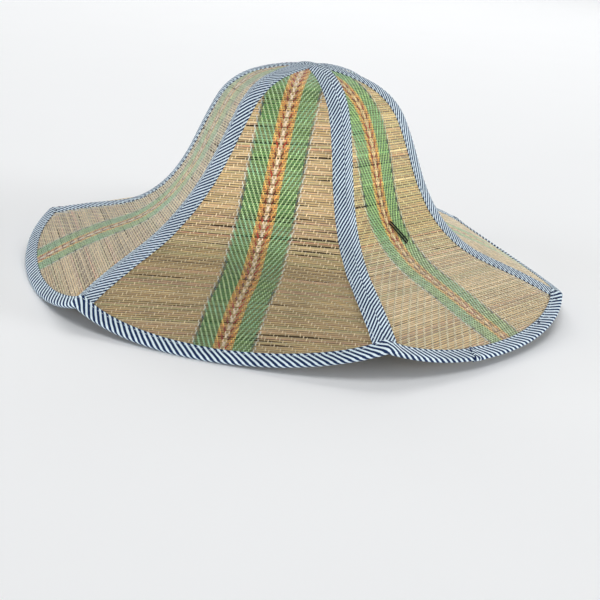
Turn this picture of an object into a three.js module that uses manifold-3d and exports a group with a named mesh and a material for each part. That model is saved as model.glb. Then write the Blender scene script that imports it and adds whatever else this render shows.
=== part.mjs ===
// A folding sun hat of six woven straw gores, each bound with striped cloth and sewn edge to edge.
// Millimetres, +Z up. The hat rests on its brim, with the surface at z = 0.
// Azimuth 0 is the -Y side, the front, and azimuths grow towards +X.

import * as THREE from 'three';
import { mergeVertices } from 'three/addons/utils/BufferGeometryUtils.js';
import Module from 'manifold-3d';

// Driving sizes
const seamLength = 279.0;
const crownHeight = 167.2;
const crownX = 0.86;
const crownY = 2.28;
const leanBack = -1.07;
const leanSide = -1.04;
const matThick = 1.2;
const clothThick = 1.0;
const fitGap = 0.3;
const coverRoom = 0.4;
const sideFlap = 8.5;
const brimFlap = 10.0;

// The black elastic: its stitch is seen outside the mat, turned from the gore's length, and each
// turn of it goes through the mat and back inside, where the ends are knotted
const elastic = { gore: 1, across: -3.0, along: 172.7, turned: 26.4, stitch: 19.3, spacing: 2.7, thick: 1.4 };
const elasticOver = 2.1;
const elasticUnder = 1.8;
const elasticCorner = 1.5;
const elasticKnot = { across: 2.2, deep: 1.5, level: 2.9 };
const slotRoom = 0.3;
const slotCutDeep = 7.2;

// Shape of every seam: slope below the level, against the share of the seam's length from the crown
const profile = [
  { share: 0.00, slope: 1.5 },
  { share: 0.08, slope: 9.0 },
  { share: 0.16, slope: 18.5 },
  { share: 0.24, slope: 39.0 },
  { share: 0.32, slope: 61.0 },
  { share: 0.42, slope: 64.5 },
  { share: 0.54, slope: 54.5 },
  { share: 0.66, slope: 38.0 },
  { share: 0.80, slope: 20.0 },
  { share: 1.00, slope: 27.0 },
];

// Each seam's own place and limpness: azimuth at crown, waist and brim, and what its slope has
// over the shape above at crown, waist and brim, all in degrees
const seams = [
  { crown: -40.2, waist: -42.2, brim: -43.0, crownDip: -2.5, waistDip: -5.8, brimDip: 7.8 },
  { crown: 19.0, waist: 17.5, brim: 17.2, crownDip: 0.5, waistDip: -0.3, brimDip: -0.2 },
  { crown: 77.5, waist: 75.6, brim: 75.2, crownDip: 2.2, waistDip: 3.8, brimDip: -3.5 },
  { crown: 137.0, waist: 137.0, brim: 137.5, crownDip: 0.6, waistDip: 0.4, brimDip: 0.0 },
  { crown: 197.0, waist: 197.5, brim: 198.0, crownDip: -0.4, waistDip: -0.6, brimDip: -2.6 },
  { crown: 256.5, waist: 259.0, brim: 258.7, crownDip: 0.4, waistDip: 2.8, brimDip: -8.5 },
];
const azimuthShares = [0, 0.25, 0.6, 1];
const dipShares = [0, 0.2, 0.5, 0.85, 1];

// How far each gore's lower edge passes its two corners in the middle
const brimSags = [29.7, 32.0, 33.2, 30.0, 30.0, 32.5];

// Fineness of the faceted walls
const rowsAlong = 22;
const columnsAcross = 9;
const turnWeight = 1.6;
const elasticArcSteps = 4;
const elasticSides = 6;

// Sizes that follow from the ones above
const matHalf = matThick / 2;
const clothInner = matHalf + coverRoom;
const clothOuter = clothInner + clothThick;
const sideMatInset = 1.8;
const sideFoldInset = sideMatInset - fitGap;
const brimFoldInset = clothThick;
const brimMatInset = clothThick + fitGap;
const panelTop = 6.0;
const sideTop = 2.0;
const sideToBrimRoom = 1.6;
const sideBottom = seamLength - brimFlap - sideToBrimRoom;

const straw = new THREE.MeshStandardMaterial({ name: 'straw_mat', color: 0xb99a68, roughness: 0.75, metalness: 0 });
const cloth = new THREE.MeshStandardMaterial({ name: 'striped_cloth', color: 0x8f9ec4, roughness: 0.9, metalness: 0 });
const rubber = new THREE.MeshStandardMaterial({ name: 'black_elastic', color: 0x17171a, roughness: 0.45, metalness: 0 });

const radians = THREE.MathUtils.degToRad;

// Smooth reading of a table: cubic between its rows and level at a row that is a high or a low
function rowSlope(at, values, i) {
  const last = at.length - 1;
  const before = Math.max(i - 1, 0);
  const after = Math.min(i + 1, last);
  const straight = (a, b) => (values[b] - values[a]) / (at[b] - at[a]);
  if (i === 0 || i === last) {
    return straight(before, after);
  }
  const left = straight(before, i);
  const right = straight(i, after);
  return left * right <= 0 ? 0 : (2 * left * right) / (left + right);
}

function readTable(at, values, x) {
  const last = at.length - 1;
  const inside = THREE.MathUtils.clamp(x, at[0], at[last]);
  let i = 0;
  while (i < last - 1 && inside > at[i + 1]) {
    i += 1;
  }
  const width = at[i + 1] - at[i];
  const t = (inside - at[i]) / width;
  const start = rowSlope(at, values, i) * width;
  const end = rowSlope(at, values, i + 1) * width;
  const rise = t * t * (3 - 2 * t);
  return values[i] * (1 - rise) + values[i + 1] * rise
    + start * t * (1 - t) * (1 - t) - end * t * t * (1 - t);
}

const profileShares = profile.map((row) => row.share);
const profileSlopes = profile.map((row) => row.slope);

function seamSlope(seam, share) {
  const dips = [seam.crownDip / 2, seam.crownDip, seam.waistDip, seam.brimDip, seam.brimDip];
  return radians(readTable(profileShares, profileSlopes, share) + readTable(dipShares, dips, share));
}

function seamAzimuth(seam, share) {
  const azimuths = [seam.crown, seam.crown, seam.waist, seam.brim];
  return radians(readTable(azimuthShares, azimuths, share));
}

// Radius and height of each seam at every millimetre of its length, summed up from its slope
const trackSteps = Math.round(seamLength);
const trackStep = seamLength / trackSteps;
const tracks = seams.map((seam) => {
  const track = [{ radius: 0, height: 0 }];
  for (let i = 0; i < trackSteps; i += 1) {
    const slope = seamSlope(seam, (i + 0.5) / trackSteps);
    track.push({
      radius: track[i].radius + Math.cos(slope) * trackStep,
      height: track[i].height - Math.sin(slope) * trackStep,
    });
  }
  return track;
});

// Point of a seam line, the fold where two bound gores meet, in the frame of the crown's point
function seamPoint(index, along) {
  const which = ((index % seams.length) + seams.length) % seams.length;
  const track = tracks[which];
  const place = along / trackStep;
  const i = THREE.MathUtils.clamp(Math.floor(place), 0, trackSteps - 1);
  const t = place - i;
  const radius = track[i].radius * (1 - t) + track[i + 1].radius * t;
  const height = track[i].height * (1 - t) + track[i + 1].height * t;
  const azimuth = seamAzimuth(seams[which], along / seamLength);
  return new THREE.Vector3(radius * Math.sin(azimuth), -radius * Math.cos(azimuth), height);
}

function seamTangent(index, along) {
  return seamPoint(index, along + 0.5).sub(seamPoint(index, along - 0.5)).normalize();
}

// Point of a gore's mid surface: straight straws run from seam to seam, across = -1 to 1
function gorePoint(gore, across, along) {
  return seamPoint(gore, along).lerp(seamPoint(gore + 1, along), (1 + across) / 2);
}

function chord(gore, along) {
  return seamPoint(gore + 1, along).sub(seamPoint(gore, along));
}

function goreNormal(gore, across, along) {
  const down = gorePoint(gore, across, along + 0.5).sub(gorePoint(gore, across, along - 0.5));
  return down.cross(chord(gore, along)).normalize();
}

// The lower edge of a gore is an arc, furthest down in the middle
function brimAlong(gore, across) {
  return seamLength + brimSags[gore] * (1 - across * across);
}

function brimPoint(gore, across) {
  return gorePoint(gore, across, brimAlong(gore, across));
}

// How much further the arc's slant makes a way across the flap, measured along the gore
function brimSlant(gore, across) {
  const rise = (2 * brimSags[gore] * across) / (chord(gore, seamLength).length() / 2);
  return Math.hypot(1, rise);
}

// Rows lie closer where the seams turn more
function rowShares(count) {
  const fine = 200;
  const sums = [0];
  for (let i = 0; i < fine; i += 1) {
    const turn = Math.abs(
      readTable(profileShares, profileSlopes, (i + 1) / fine) - readTable(profileShares, profileSlopes, i / fine),
    );
    sums.push(sums[i] + seamLength / fine + turnWeight * turn);
  }
  const shares = [];
  let i = 0;
  for (let row = 0; row <= count; row += 1) {
    const wanted = (sums[fine] * row) / count;
    while (i < fine - 1 && sums[i + 1] < wanted) {
      i += 1;
    }
    shares.push((i + (wanted - sums[i]) / (sums[i + 1] - sums[i])) / fine);
  }
  return shares;
}

const shares = rowShares(rowsAlong);

// From the frame of the crown's point to the hat at rest on its brim
const atRest = new THREE.Matrix4()
  .makeRotationFromEuler(new THREE.Euler(radians(leanBack), radians(leanSide), 0))
  .setPosition(crownX, crownY, crownHeight);

// Closed geometry from points and triangles, set at rest and turned so that its faces point out
function closedGeometry(points, triangles) {
  points.forEach((point) => point.applyMatrix4(atRest));
  let volume = 0;
  triangles.forEach(([a, b, c]) => {
    volume += points[a].dot(points[b].clone().cross(points[c]));
  });
  const faces = volume < 0 ? triangles.map(([a, b, c]) => [a, c, b]) : triangles;
  const geometry = new THREE.BufferGeometry();
  geometry.setAttribute('position', new THREE.Float32BufferAttribute(points.flatMap((p) => [p.x, p.y, p.z]), 3));
  geometry.setIndex(faces.flat());
  geometry.computeVertexNormals();
  return geometry;
}

function addQuad(triangles, a, b, c, d) {
  triangles.push([a, b, c], [a, c, d]);
}

// Wall between two skins, each a grid of rows and columns
function thickSheet(rows, columns, place) {
  const points = [];
  const triangles = [];
  const name = (row, column, skin) => (row * (columns + 1) + column) * 2 + skin;
  for (let row = 0; row <= rows; row += 1) {
    for (let column = 0; column <= columns; column += 1) {
      points.push(place(row, column, 1), place(row, column, -1));
    }
  }
  for (let row = 0; row < rows; row += 1) {
    for (let column = 0; column < columns; column += 1) {
      addQuad(triangles, name(row, column, 0), name(row + 1, column, 0),
        name(row + 1, column + 1, 0), name(row, column + 1, 0));
      addQuad(triangles, name(row, column, 1), name(row, column + 1, 1),
        name(row + 1, column + 1, 1), name(row + 1, column, 1));
    }
    addQuad(triangles, name(row, 0, 0), name(row, 0, 1), name(row + 1, 0, 1), name(row + 1, 0, 0));
    addQuad(triangles, name(row, columns, 0), name(row + 1, columns, 0),
      name(row + 1, columns, 1), name(row, columns, 1));
  }
  for (let column = 0; column < columns; column += 1) {
    addQuad(triangles, name(0, column, 0), name(0, column + 1, 0), name(0, column + 1, 1), name(0, column, 1));
    addQuad(triangles, name(rows, column, 0), name(rows, column, 1),
      name(rows, column + 1, 1), name(rows, column + 1, 0));
  }
  return closedGeometry(points, triangles);
}

// Section carried through stations, either round to its start or closed by a cap at each end
function sweptWall(stations, sectionSize, caps, place) {
  const points = [];
  const triangles = [];
  const round = caps === null;
  const name = (station, corner) => (station % stations) * sectionSize + (corner % sectionSize);
  for (let station = 0; station < stations; station += 1) {
    for (let corner = 0; corner < sectionSize; corner += 1) {
      points.push(place(station, corner));
    }
  }
  const spans = round ? stations : stations - 1;
  for (let station = 0; station < spans; station += 1) {
    for (let corner = 0; corner < sectionSize; corner += 1) {
      addQuad(triangles, name(station, corner), name(station, corner + 1),
        name(station + 1, corner + 1), name(station + 1, corner));
    }
  }
  if (!round) {
    caps.forEach(([a, b, c, d]) => {
      addQuad(triangles, name(0, d), name(0, c), name(0, b), name(0, a));
      const end = stations - 1;
      addQuad(triangles, name(end, a), name(end, b), name(end, c), name(end, d));
    });
  }
  return closedGeometry(points, triangles);
}

// Folded cloth has eight corners: outer flap end, the fold's two outer corners, inner flap end,
// and the same four again on the side of the mat
const foldCorners = [
  { edge: 'flap', skin: 1, face: 'out' },
  { edge: 'fold', skin: 1, face: 'out' },
  { edge: 'fold', skin: -1, face: 'out' },
  { edge: 'flap', skin: -1, face: 'out' },
  { edge: 'flap', skin: -1, face: 'in' },
  { edge: 'fold', skin: -1, face: 'in' },
  { edge: 'fold', skin: 1, face: 'in' },
  { edge: 'flap', skin: 1, face: 'in' },
];
const foldCaps = [[0, 1, 6, 7], [1, 2, 5, 6], [2, 3, 4, 5]];

function halfWidth(gore, along) {
  return chord(gore, along).length() / 2;
}

// Where on a gore a point lies that is some way in from its long edge, square to the seam
function placeFromSeam(gore, side, along, inset) {
  const edge = side === 'left' ? -1 : 1;
  const seam = side === 'left' ? gore : gore + 1;
  const inward = chord(gore, along).multiplyScalar(-edge).normalize();
  const slant = -inward.dot(seamTangent(seam, along));
  const straight = Math.sqrt(1 - slant * slant);
  const reach = inset / straight;
  const lower = along + reach * slant;
  return { across: edge * (1 - reach / halfWidth(gore, lower)), along: lower, straight };
}

function raisedPoint(gore, across, along, level) {
  return gorePoint(gore, across, along).addScaledVector(goreNormal(gore, across, along), level);
}

// Corner of a fold on the plane halfway between two gores, half a gap in from it
function mitrePoint(gore, side, along, level) {
  const edge = side === 'left' ? -1 : 1;
  const seam = side === 'left' ? gore : gore + 1;
  const normal = goreNormal(gore, edge, along);
  const halfway = normal.clone().add(goreNormal(gore + edge, -edge, along)).normalize();
  const inward = normal.clone().cross(seamTangent(seam, along)).multiplyScalar(-edge).normalize();
  return seamPoint(seam, along)
    .addScaledVector(halfway, level / halfway.dot(normal))
    .addScaledVector(inward, fitGap / 2);
}

function matPanel(gore) {
  const place = (row, column, skin) => {
    const share = shares[row];
    const step = (column / columnsAcross) * 2 - 1;
    const wholeAlong = panelTop + (brimAlong(gore, step) - brimMatInset * brimSlant(gore, step) - panelTop) * share;
    const { straight } = placeFromSeam(gore, step < 0 ? 'left' : 'right', wholeAlong, sideMatInset);
    const across = step * (1 - sideMatInset / straight / halfWidth(gore, wholeAlong));
    const along = panelTop + (brimAlong(gore, across) - brimMatInset * brimSlant(gore, across) - panelTop) * share;
    return raisedPoint(gore, across, along, skin * matHalf);
  };
  return thickSheet(rowsAlong, columnsAcross, place);
}

function sideBinding(gore, side) {
  const place = (station, corner) => {
    const along = sideTop + (sideBottom - sideTop) * shares[station];
    const { edge, skin, face } = foldCorners[corner];
    const level = skin * (face === 'out' ? clothOuter : clothInner);
    if (edge === 'fold' && face === 'out') {
      return mitrePoint(gore, side, along, level);
    }
    const { straight } = placeFromSeam(gore, side, along, 0);
    const room = (halfWidth(gore, along) - fitGap) / straight;
    const flap = Math.min(sideFlap, room);
    const inset = edge === 'flap' ? flap : Math.min(sideFoldInset, flap - fitGap);
    const target = placeFromSeam(gore, side, along, inset);
    return raisedPoint(gore, target.across, target.along, level);
  };
  return sweptWall(rowsAlong + 1, foldCorners.length, foldCaps, place);
}

// Frame at the brim's edge, shared by two gores at each corner
function brimFrame(gore, across) {
  const point = brimPoint(gore, across);
  const normal = goreNormal(gore, across, brimAlong(gore, across));
  if (Math.abs(across) === 1) {
    const seam = across < 0 ? gore : gore + 1;
    const neighbour = across < 0 ? gore - 1 : gore + 1;
    const halfway = normal.clone().add(goreNormal(neighbour, -across, seamLength)).normalize();
    const inward = seamTangent(seam, seamLength).negate();
    return { point, inward, lift: halfway.divideScalar(halfway.dot(normal)) };
  }
  const tangent = brimPoint(gore, across + 0.01).sub(brimPoint(gore, across - 0.01));
  return { point, inward: normal.clone().cross(tangent).normalize(), lift: normal };
}

function brimBinding() {
  const stations = seams.length * columnsAcross;
  const place = (station, corner) => {
    const gore = Math.floor(station / columnsAcross);
    const across = ((station % columnsAcross) / columnsAcross) * 2 - 1;
    const frame = brimFrame(gore, across);
    const { edge, skin, face } = foldCorners[corner];
    const level = skin * (face === 'out' ? clothOuter : clothInner);
    const foldInset = face === 'out' ? 0 : brimFoldInset;
    const inset = edge === 'flap' ? brimFlap : foldInset;
    return frame.point.addScaledVector(frame.inward, inset).addScaledVector(frame.lift, level);
  };
  return sweptWall(stations, foldCorners.length, null, place);
}

// Frame of the elastic's stitch: its way along the mat, its way across, and out of the mat
function elasticFrame() {
  const { gore, across, along, turned } = elastic;
  const share = across / halfWidth(gore, along);
  const centre = gorePoint(gore, share, along);
  const out = goreNormal(gore, share, along);
  const sideways = chord(gore, along).normalize();
  const way = sideways.clone().cross(out).multiplyScalar(-1).applyAxisAngle(out, radians(turned));
  return { centre, way, out, lateral: out.clone().cross(way) };
}

// One turn of the elastic is a ring: a long rounded rectangle that passes through the mat twice
function elasticTurn(frame, lateral) {
  const { centre, way, out, lateral: side } = frame;
  const radius = elastic.thick / 2;
  const half = elastic.stitch / 2 - elasticCorner;
  const corners = [
    { way: half, out: elasticOver - elasticCorner, start: 0 },
    { way: -half, out: elasticOver - elasticCorner, start: 90 },
    { way: -half, out: elasticCorner - elasticUnder, start: 180 },
    { way: half, out: elasticCorner - elasticUnder, start: 270 },
  ];
  const place = (station, corner) => {
    const arc = corners[Math.floor(station / elasticArcSteps)];
    const angle = radians(arc.start + (90 * (station % elasticArcSteps)) / (elasticArcSteps - 1));
    const turn = radians((360 * corner) / elasticSides);
    const reach = elasticCorner + radius * Math.cos(turn);
    return centre.clone()
      .addScaledVector(way, arc.way + reach * Math.cos(angle))
      .addScaledVector(out, arc.out + reach * Math.sin(angle))
      .addScaledVector(side, lateral + radius * Math.sin(turn));
  };
  return sweptWall(corners.length * elasticArcSteps, elasticSides, null, place);
}

// Solids for cutting and joining
const wasm = await Module();
wasm.setup();

function solid(geometry) {
  const bare = geometry.clone();
  bare.deleteAttribute('normal');
  bare.deleteAttribute('uv');
  const merged = mergeVertices(bare);
  return new wasm.Manifold(new wasm.Mesh({
    numProp: 3,
    vertProperties: Float32Array.from(merged.attributes.position.array),
    triVerts: Uint32Array.from(merged.index.array),
  }));
}

function surface(body) {
  const mesh = body.getMesh();
  const geometry = new THREE.BufferGeometry();
  geometry.setAttribute('position', new THREE.Float32BufferAttribute(mesh.vertProperties, 3));
  geometry.setIndex(Array.from(mesh.triVerts));
  geometry.computeVertexNormals();
  return geometry;
}

function placed(geometry, { centre, way, out, lateral }, offset) {
  const local = new THREE.Matrix4().makeBasis(way, lateral, out).setPosition(
    centre.clone().addScaledVector(way, offset.way).addScaledVector(out, offset.out),
  );
  return geometry.applyMatrix4(local).applyMatrix4(atRest);
}

function elasticLoop() {
  const frame = elasticFrame();
  const knot = new THREE.IcosahedronGeometry(1, 1)
    .scale(elasticKnot.across, elasticKnot.across, elasticKnot.deep);
  const turns = [-0.5, 0.5].map((place) => solid(elasticTurn(frame, place * elastic.spacing)));
  const joined = turns[0].add(turns[1]).add(solid(placed(knot, frame, { way: 0, out: -elasticKnot.level })));
  return surface(joined);
}

// The mat parts into a short slot where the elastic goes through
function slottedPanel() {
  const frame = elasticFrame();
  const wide = elastic.spacing + elastic.thick + 2 * slotRoom;
  const long = elastic.thick + 2 * slotRoom;
  let body = solid(matPanel(elastic.gore));
  [-0.5, 0.5].forEach((end) => {
    const slot = new THREE.BoxGeometry(long, wide, slotCutDeep);
    body = body.subtract(solid(placed(slot, frame, { way: end * elastic.stitch, out: 0 })));
  });
  return surface(body);
}

// The soft binding is pressed flat where it rests
function restedBrimBinding() {
  const side = 4 * seamLength;
  const below = new THREE.BoxGeometry(side, side, side).translate(0, 0, -side / 2);
  return surface(solid(brimBinding()).subtract(solid(below)));
}

const hat = new THREE.Group();
hat.name = 'straw_folding_hat';

function addPiece(name, geometry, material) {
  const mesh = new THREE.Mesh(geometry, material);
  mesh.name = name;
  hat.add(mesh);
}

for (let gore = 0; gore < seams.length; gore += 1) {
  addPiece(`mat_panel_${gore + 1}`, gore === elastic.gore ? slottedPanel() : matPanel(gore), straw);
  addPiece(`side_binding_${gore + 1}_left`, sideBinding(gore, 'left'), cloth);
  addPiece(`side_binding_${gore + 1}_right`, sideBinding(gore, 'right'), cloth);
}
addPiece('brim_binding', restedBrimBinding(), cloth);
addPiece('elastic_loop', elasticLoop(), rubber);

export default hat;
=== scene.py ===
"""A folding sun hat of six woven straw gores, bound in striped cloth and resting on its brim.

Lengths are in metres, +Z up. A place on a gore has u, the way across from its mid-line, v, the way
from the crown's point to the brim, and a level, the height over the middle of the mat. "across" is
u as a share of the gore's half width there, from -1 at its left seam to 1 at its right one. A skin
is 1 for the outside of the hat and -1 for its inside.
"""

import math

import bpy
import numpy as np
from mathutils import Matrix, Vector


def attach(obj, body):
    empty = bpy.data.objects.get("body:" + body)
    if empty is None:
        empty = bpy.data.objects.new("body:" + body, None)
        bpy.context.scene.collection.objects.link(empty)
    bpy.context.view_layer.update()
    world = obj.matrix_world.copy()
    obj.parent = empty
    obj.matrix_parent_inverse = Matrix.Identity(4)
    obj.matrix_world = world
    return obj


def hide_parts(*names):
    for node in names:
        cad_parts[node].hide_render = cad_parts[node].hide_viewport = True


bl_info = {
    "name": "Straw folding hat",
    "version": (1, 0, 0),
    "blender": (4, 5, 0),
    "location": "View3D > Sidebar > Hat",
    "description": "Builds a straw sun hat of six woven gores with its bindings, and a plain stage",
    "category": "Add Mesh",
}

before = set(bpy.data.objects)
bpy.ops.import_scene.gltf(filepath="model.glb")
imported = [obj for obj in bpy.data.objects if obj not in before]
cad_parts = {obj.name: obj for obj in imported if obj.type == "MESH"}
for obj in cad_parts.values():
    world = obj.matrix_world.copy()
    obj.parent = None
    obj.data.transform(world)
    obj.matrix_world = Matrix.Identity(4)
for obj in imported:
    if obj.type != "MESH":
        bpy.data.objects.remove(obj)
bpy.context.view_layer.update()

MM = 0.001
GORES = 6

# The hat's form, the same as in the solids
SEAM_LENGTH = 279.0 * MM
BRIM_SAGS = np.array([29.7, 32.0, 33.2, 30.0, 30.0, 32.5]) * MM
# Where the crown's point comes to lie, and how the hat leans on its surface, in degrees
CROWN = (0.86 * MM, 2.28 * MM, 167.2 * MM)
LEAN_BACK = -1.07
LEAN_SIDE = -1.04
SEAM_STEPS = 279
STEPS_BEYOND = 40
# How steep every seam is by the share of its length, in degrees, and where the seams' rows apply
PROFILE_SHARES = (0.00, 0.08, 0.16, 0.24, 0.32, 0.42, 0.54, 0.66, 0.80, 1.00)
PROFILE_SLOPES = (1.5, 9.0, 18.5, 39.0, 61.0, 64.5, 54.5, 38.0, 20.0, 27.0)
AZIMUTH_SHARES = (0, 0.25, 0.6, 1)
DIP_SHARES = (0, 0.2, 0.5, 0.85, 1)
# Azimuth at crown, waist and brim, and what the slope has over the profile there, in degrees
SEAMS = (
    {"azimuth": (-40.2, -42.2, -43.0), "dip": (-2.5, -5.8, 7.8)},
    {"azimuth": (19.0, 17.5, 17.2), "dip": (0.5, -0.3, -0.2)},
    {"azimuth": (77.5, 75.6, 75.2), "dip": (2.2, 3.8, -3.5)},
    {"azimuth": (137.0, 137.0, 137.5), "dip": (0.6, 0.4, 0.0)},
    {"azimuth": (197.0, 197.5, 198.0), "dip": (-0.4, -0.6, -2.6)},
    {"azimuth": (256.5, 259.0, 258.7), "dip": (0.4, 2.8, -8.5)},
)
STEP = SEAM_LENGTH / SEAM_STEPS
# Nothing of the hat is lower than this over the surface it rests on
FLOOR_ROOM = 0.15 * MM


def read_table(at, values, x):
    """Smooth reading of a table, level at a row that is a high or a low."""
    at = np.asarray(at, float)
    values = np.asarray(values, float)
    x = np.clip(x, at[0], at[-1])
    straight = np.diff(values) / np.diff(at)
    slopes = np.concatenate([straight[:1], np.zeros(len(at) - 2), straight[-1:]])
    for i in range(1, len(at) - 1):
        before, after = straight[i - 1], straight[i]
        if before * after > 0:
            slopes[i] = 2 * before * after / (before + after)
    i = np.clip(np.searchsorted(at, x, side="left") - 1, 0, len(at) - 2)
    width = at[i + 1] - at[i]
    t = (x - at[i]) / width
    rise = t * t * (3 - 2 * t)
    ends = slopes[i] * width * t * (1 - t) ** 2 - slopes[i + 1] * width * t * t * (1 - t)
    return values[i] * (1 - rise) + values[i + 1] * rise + ends


def seam_line(row):
    """Points of one seam, a step apart, from the crown's point to a little beyond the brim's corner."""
    crown, waist, brim = row["dip"]
    shares = (np.arange(SEAM_STEPS) + 0.5) / SEAM_STEPS
    profile = read_table(PROFILE_SHARES, PROFILE_SLOPES, shares)
    dip = read_table(DIP_SHARES, (crown / 2, crown, waist, brim, brim), shares)
    slope = np.radians(profile + dip)
    slope = np.concatenate([slope, np.full(STEPS_BEYOND, slope[-1])])
    radius = np.concatenate([[0], np.cumsum(np.cos(slope) * STEP)])
    height = -np.concatenate([[0], np.cumsum(np.sin(slope) * STEP)])
    crown, waist, brim = row["azimuth"]
    reached = np.arange(len(radius)) / SEAM_STEPS
    azimuth = np.radians(read_table(AZIMUTH_SHARES, (crown, crown, waist, brim), reached))
    return np.stack([radius * np.sin(azimuth), -radius * np.cos(azimuth), height], -1)


SEAM_LINES = [seam_line(row) for row in SEAMS]
SEAM_WAYS = [np.gradient(line, STEP, axis=0) for line in SEAM_LINES]


def unit(vectors):
    return vectors / np.linalg.norm(vectors, axis=-1, keepdims=True)


def along_line(line, v):
    place = np.clip(np.asarray(v, float) / STEP, 0, len(line) - 1.001)
    i = np.floor(place).astype(int)
    t = (place - i)[..., None]
    return line[i] * (1 - t) + line[i + 1] * t


def seam_point(seam, v):
    return along_line(SEAM_LINES[seam % GORES], v)


def seam_way(seam, v):
    return unit(along_line(SEAM_WAYS[seam % GORES], v))


def gore_span(gore, v):
    """From a gore's left seam to its right one, along the straws."""
    return seam_point(gore + 1, v) - seam_point(gore, v)


def gore_point(gore, across, v):
    share = ((1 + np.asarray(across, float)) / 2)[..., None]
    return seam_point(gore, v) * (1 - share) + seam_point(gore + 1, v) * share


def gore_normal(gore, across, v):
    share = ((1 + np.asarray(across, float)) / 2)[..., None]
    left = along_line(SEAM_WAYS[gore % GORES], v)
    right = along_line(SEAM_WAYS[(gore + 1) % GORES], v)
    return unit(np.cross(left * (1 - share) + right * share, gore_span(gore, v)))


def half_width(gore, v):
    return np.linalg.norm(gore_span(gore, v), axis=-1) / 2


def brim_v(gore, across):
    """Where the arc of the lower edge lies: it passes its two corners in the middle."""
    return SEAM_LENGTH + BRIM_SAGS[gore] * (1 - np.asarray(across, float) ** 2)


def above_brim(gore, across, inset):
    """The v that lies some way in from the lower edge, square to its arc."""
    inner = np.clip(across, -1, 1)
    slant = np.hypot(1, 2 * BRIM_SAGS[gore] * inner / half_width(gore, SEAM_LENGTH))
    return brim_v(gore, across) - inset * slant


TURN_BACK = Matrix.Rotation(math.radians(LEAN_BACK), 3, "X")
TURN_SIDE = Matrix.Rotation(math.radians(LEAN_SIDE), 3, "Y")
LEAN = np.array(TURN_BACK @ TURN_SIDE)


def at_rest(points):
    """From the frame of the crown's point to the hat on its surface, which nothing goes below."""
    points = points @ LEAN.T + np.array(CROWN)
    points[..., 2] = np.maximum(points[..., 2], FLOOR_ROOM)
    return points


def mat_point(gore, u, v, level):
    across = u / half_width(gore, v)
    return gore_point(gore, across, v) + gore_normal(gore, across, v) * np.asarray(level)[..., None]


def from_seam(gore, side, v, inset):
    """Where a point lies that is some way in from a gore's long edge, square to the seam.

    Gives its across, its v and how straight the straws meet the seam there.
    """
    edge = -1 if side == "left" else 1
    seam = gore if side == "left" else gore + 1
    slant = np.sum(edge * unit(gore_span(gore, v)) * seam_way(seam, v), -1)
    straight = np.sqrt(1 - slant**2)
    reach = inset / straight
    lower = v + reach * slant
    return edge * (1 - reach / half_width(gore, lower)), lower, straight


class Parts:
    """Points, four-sided faces and their maps, gathered so that one mesh is made of them."""

    def __init__(self):
        self.points, self.faces, self.maps, self.tones, self.slots = [], [], [], [], []
        self.count = 0

    def add(self, points, faces, places, slot=0, tones=(1.0, 1.0, 1.0), unhazed=1.0):
        """Places are on the map; tones, which carry painted light and shade, and how much dye is left under
        a painted haze are one for each point or for all.
        """
        points = np.reshape(points, (-1, 3))
        count = len(points)
        tones = np.broadcast_to(np.reshape(tones, (-1, 3)), (count, 3))
        unhazed = np.broadcast_to(np.reshape(unhazed, (-1, 1)), (count, 1))
        self.points.append(points)
        self.faces.append(faces + self.count)
        self.maps.append(np.reshape(places, (count, 2)))
        self.tones.append(np.hstack([tones, unhazed]))
        self.slots.append(np.full(len(faces), slot))
        self.count += count

    def make(self, name, materials, map_name):
        """The gathered parts as one shaded object."""
        points = np.concatenate(self.points).astype(np.float32)
        faces = np.concatenate(self.faces).astype(np.int32)
        maps = np.concatenate(self.maps).astype(np.float32)
        tones = np.concatenate(self.tones).astype(np.float32)
        mesh = bpy.data.meshes.new(name)
        mesh.vertices.add(len(points))
        mesh.vertices.foreach_set("co", points.ravel())
        mesh.loops.add(faces.size)
        mesh.loops.foreach_set("vertex_index", faces.ravel())
        mesh.polygons.add(len(faces))
        mesh.polygons.foreach_set("loop_start", np.arange(0, faces.size, 4, dtype=np.int32))
        mesh.polygons.foreach_set("material_index", np.concatenate(self.slots).astype(np.int32))
        mesh.polygons.foreach_set("use_smooth", np.ones(len(faces), bool))
        mesh.uv_layers.new(name=map_name).data.foreach_set("uv", maps[faces.ravel()].ravel())
        # Each point's own tone with its painted light and shade, and in the alpha how much dye is left under
        # the painted haze
        layer = mesh.color_attributes.new("Tone", "FLOAT_COLOR", "POINT")
        layer.data.foreach_set("color", tones.ravel())
        for material in materials:
            mesh.materials.append(material)
        mesh.update(calc_edges=True)
        mesh.validate()
        made = bpy.data.objects.new(name, mesh)
        bpy.context.scene.collection.objects.link(made)
        return made


def grid_faces(items, rows, columns, closed):
    """Faces of many equal grids, each of rows by columns points, open or closed round its columns."""
    spans = columns if closed else columns - 1
    row, column = np.meshgrid(np.arange(rows - 1), np.arange(spans), indexing="ij")
    after = (column + 1) % columns
    near, far = row * columns, (row + 1) * columns
    one = np.stack([near + column, far + column, far + after, near + after], -1).reshape(-1, 4)
    return (one + (np.arange(items) * rows * columns)[:, None, None]).reshape(-1, 4)


def rod_faces(items, rows):
    """Faces of many equal rods with six points round, closed at both ends by two faces each."""
    start = np.array([[0, 1, 2, 3], [0, 3, 4, 5]])
    end = (start + (rows - 1) * 6)[:, ::-1]
    caps = np.concatenate([start, end]) + (np.arange(items) * rows * 6)[:, None, None]
    return np.concatenate([grid_faces(items, rows, 6, True), caps.reshape(-1, 4)])


def smooth_noise(source, shape, coarse):
    """Random values in -1 to 1 that change gently along the last axis, between some coarse ones."""
    knots = source.uniform(-1, 1, shape[:-1] + (coarse,))
    place = np.linspace(0, coarse - 1.001, shape[-1])
    i = np.floor(place).astype(int)
    t = place - i
    t = t * t * (3 - 2 * t)
    return knots[..., i] * (1 - t) + knots[..., i + 1] * t


# Materials

CLEAR = (1.0, 1.0, 1.0)
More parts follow.
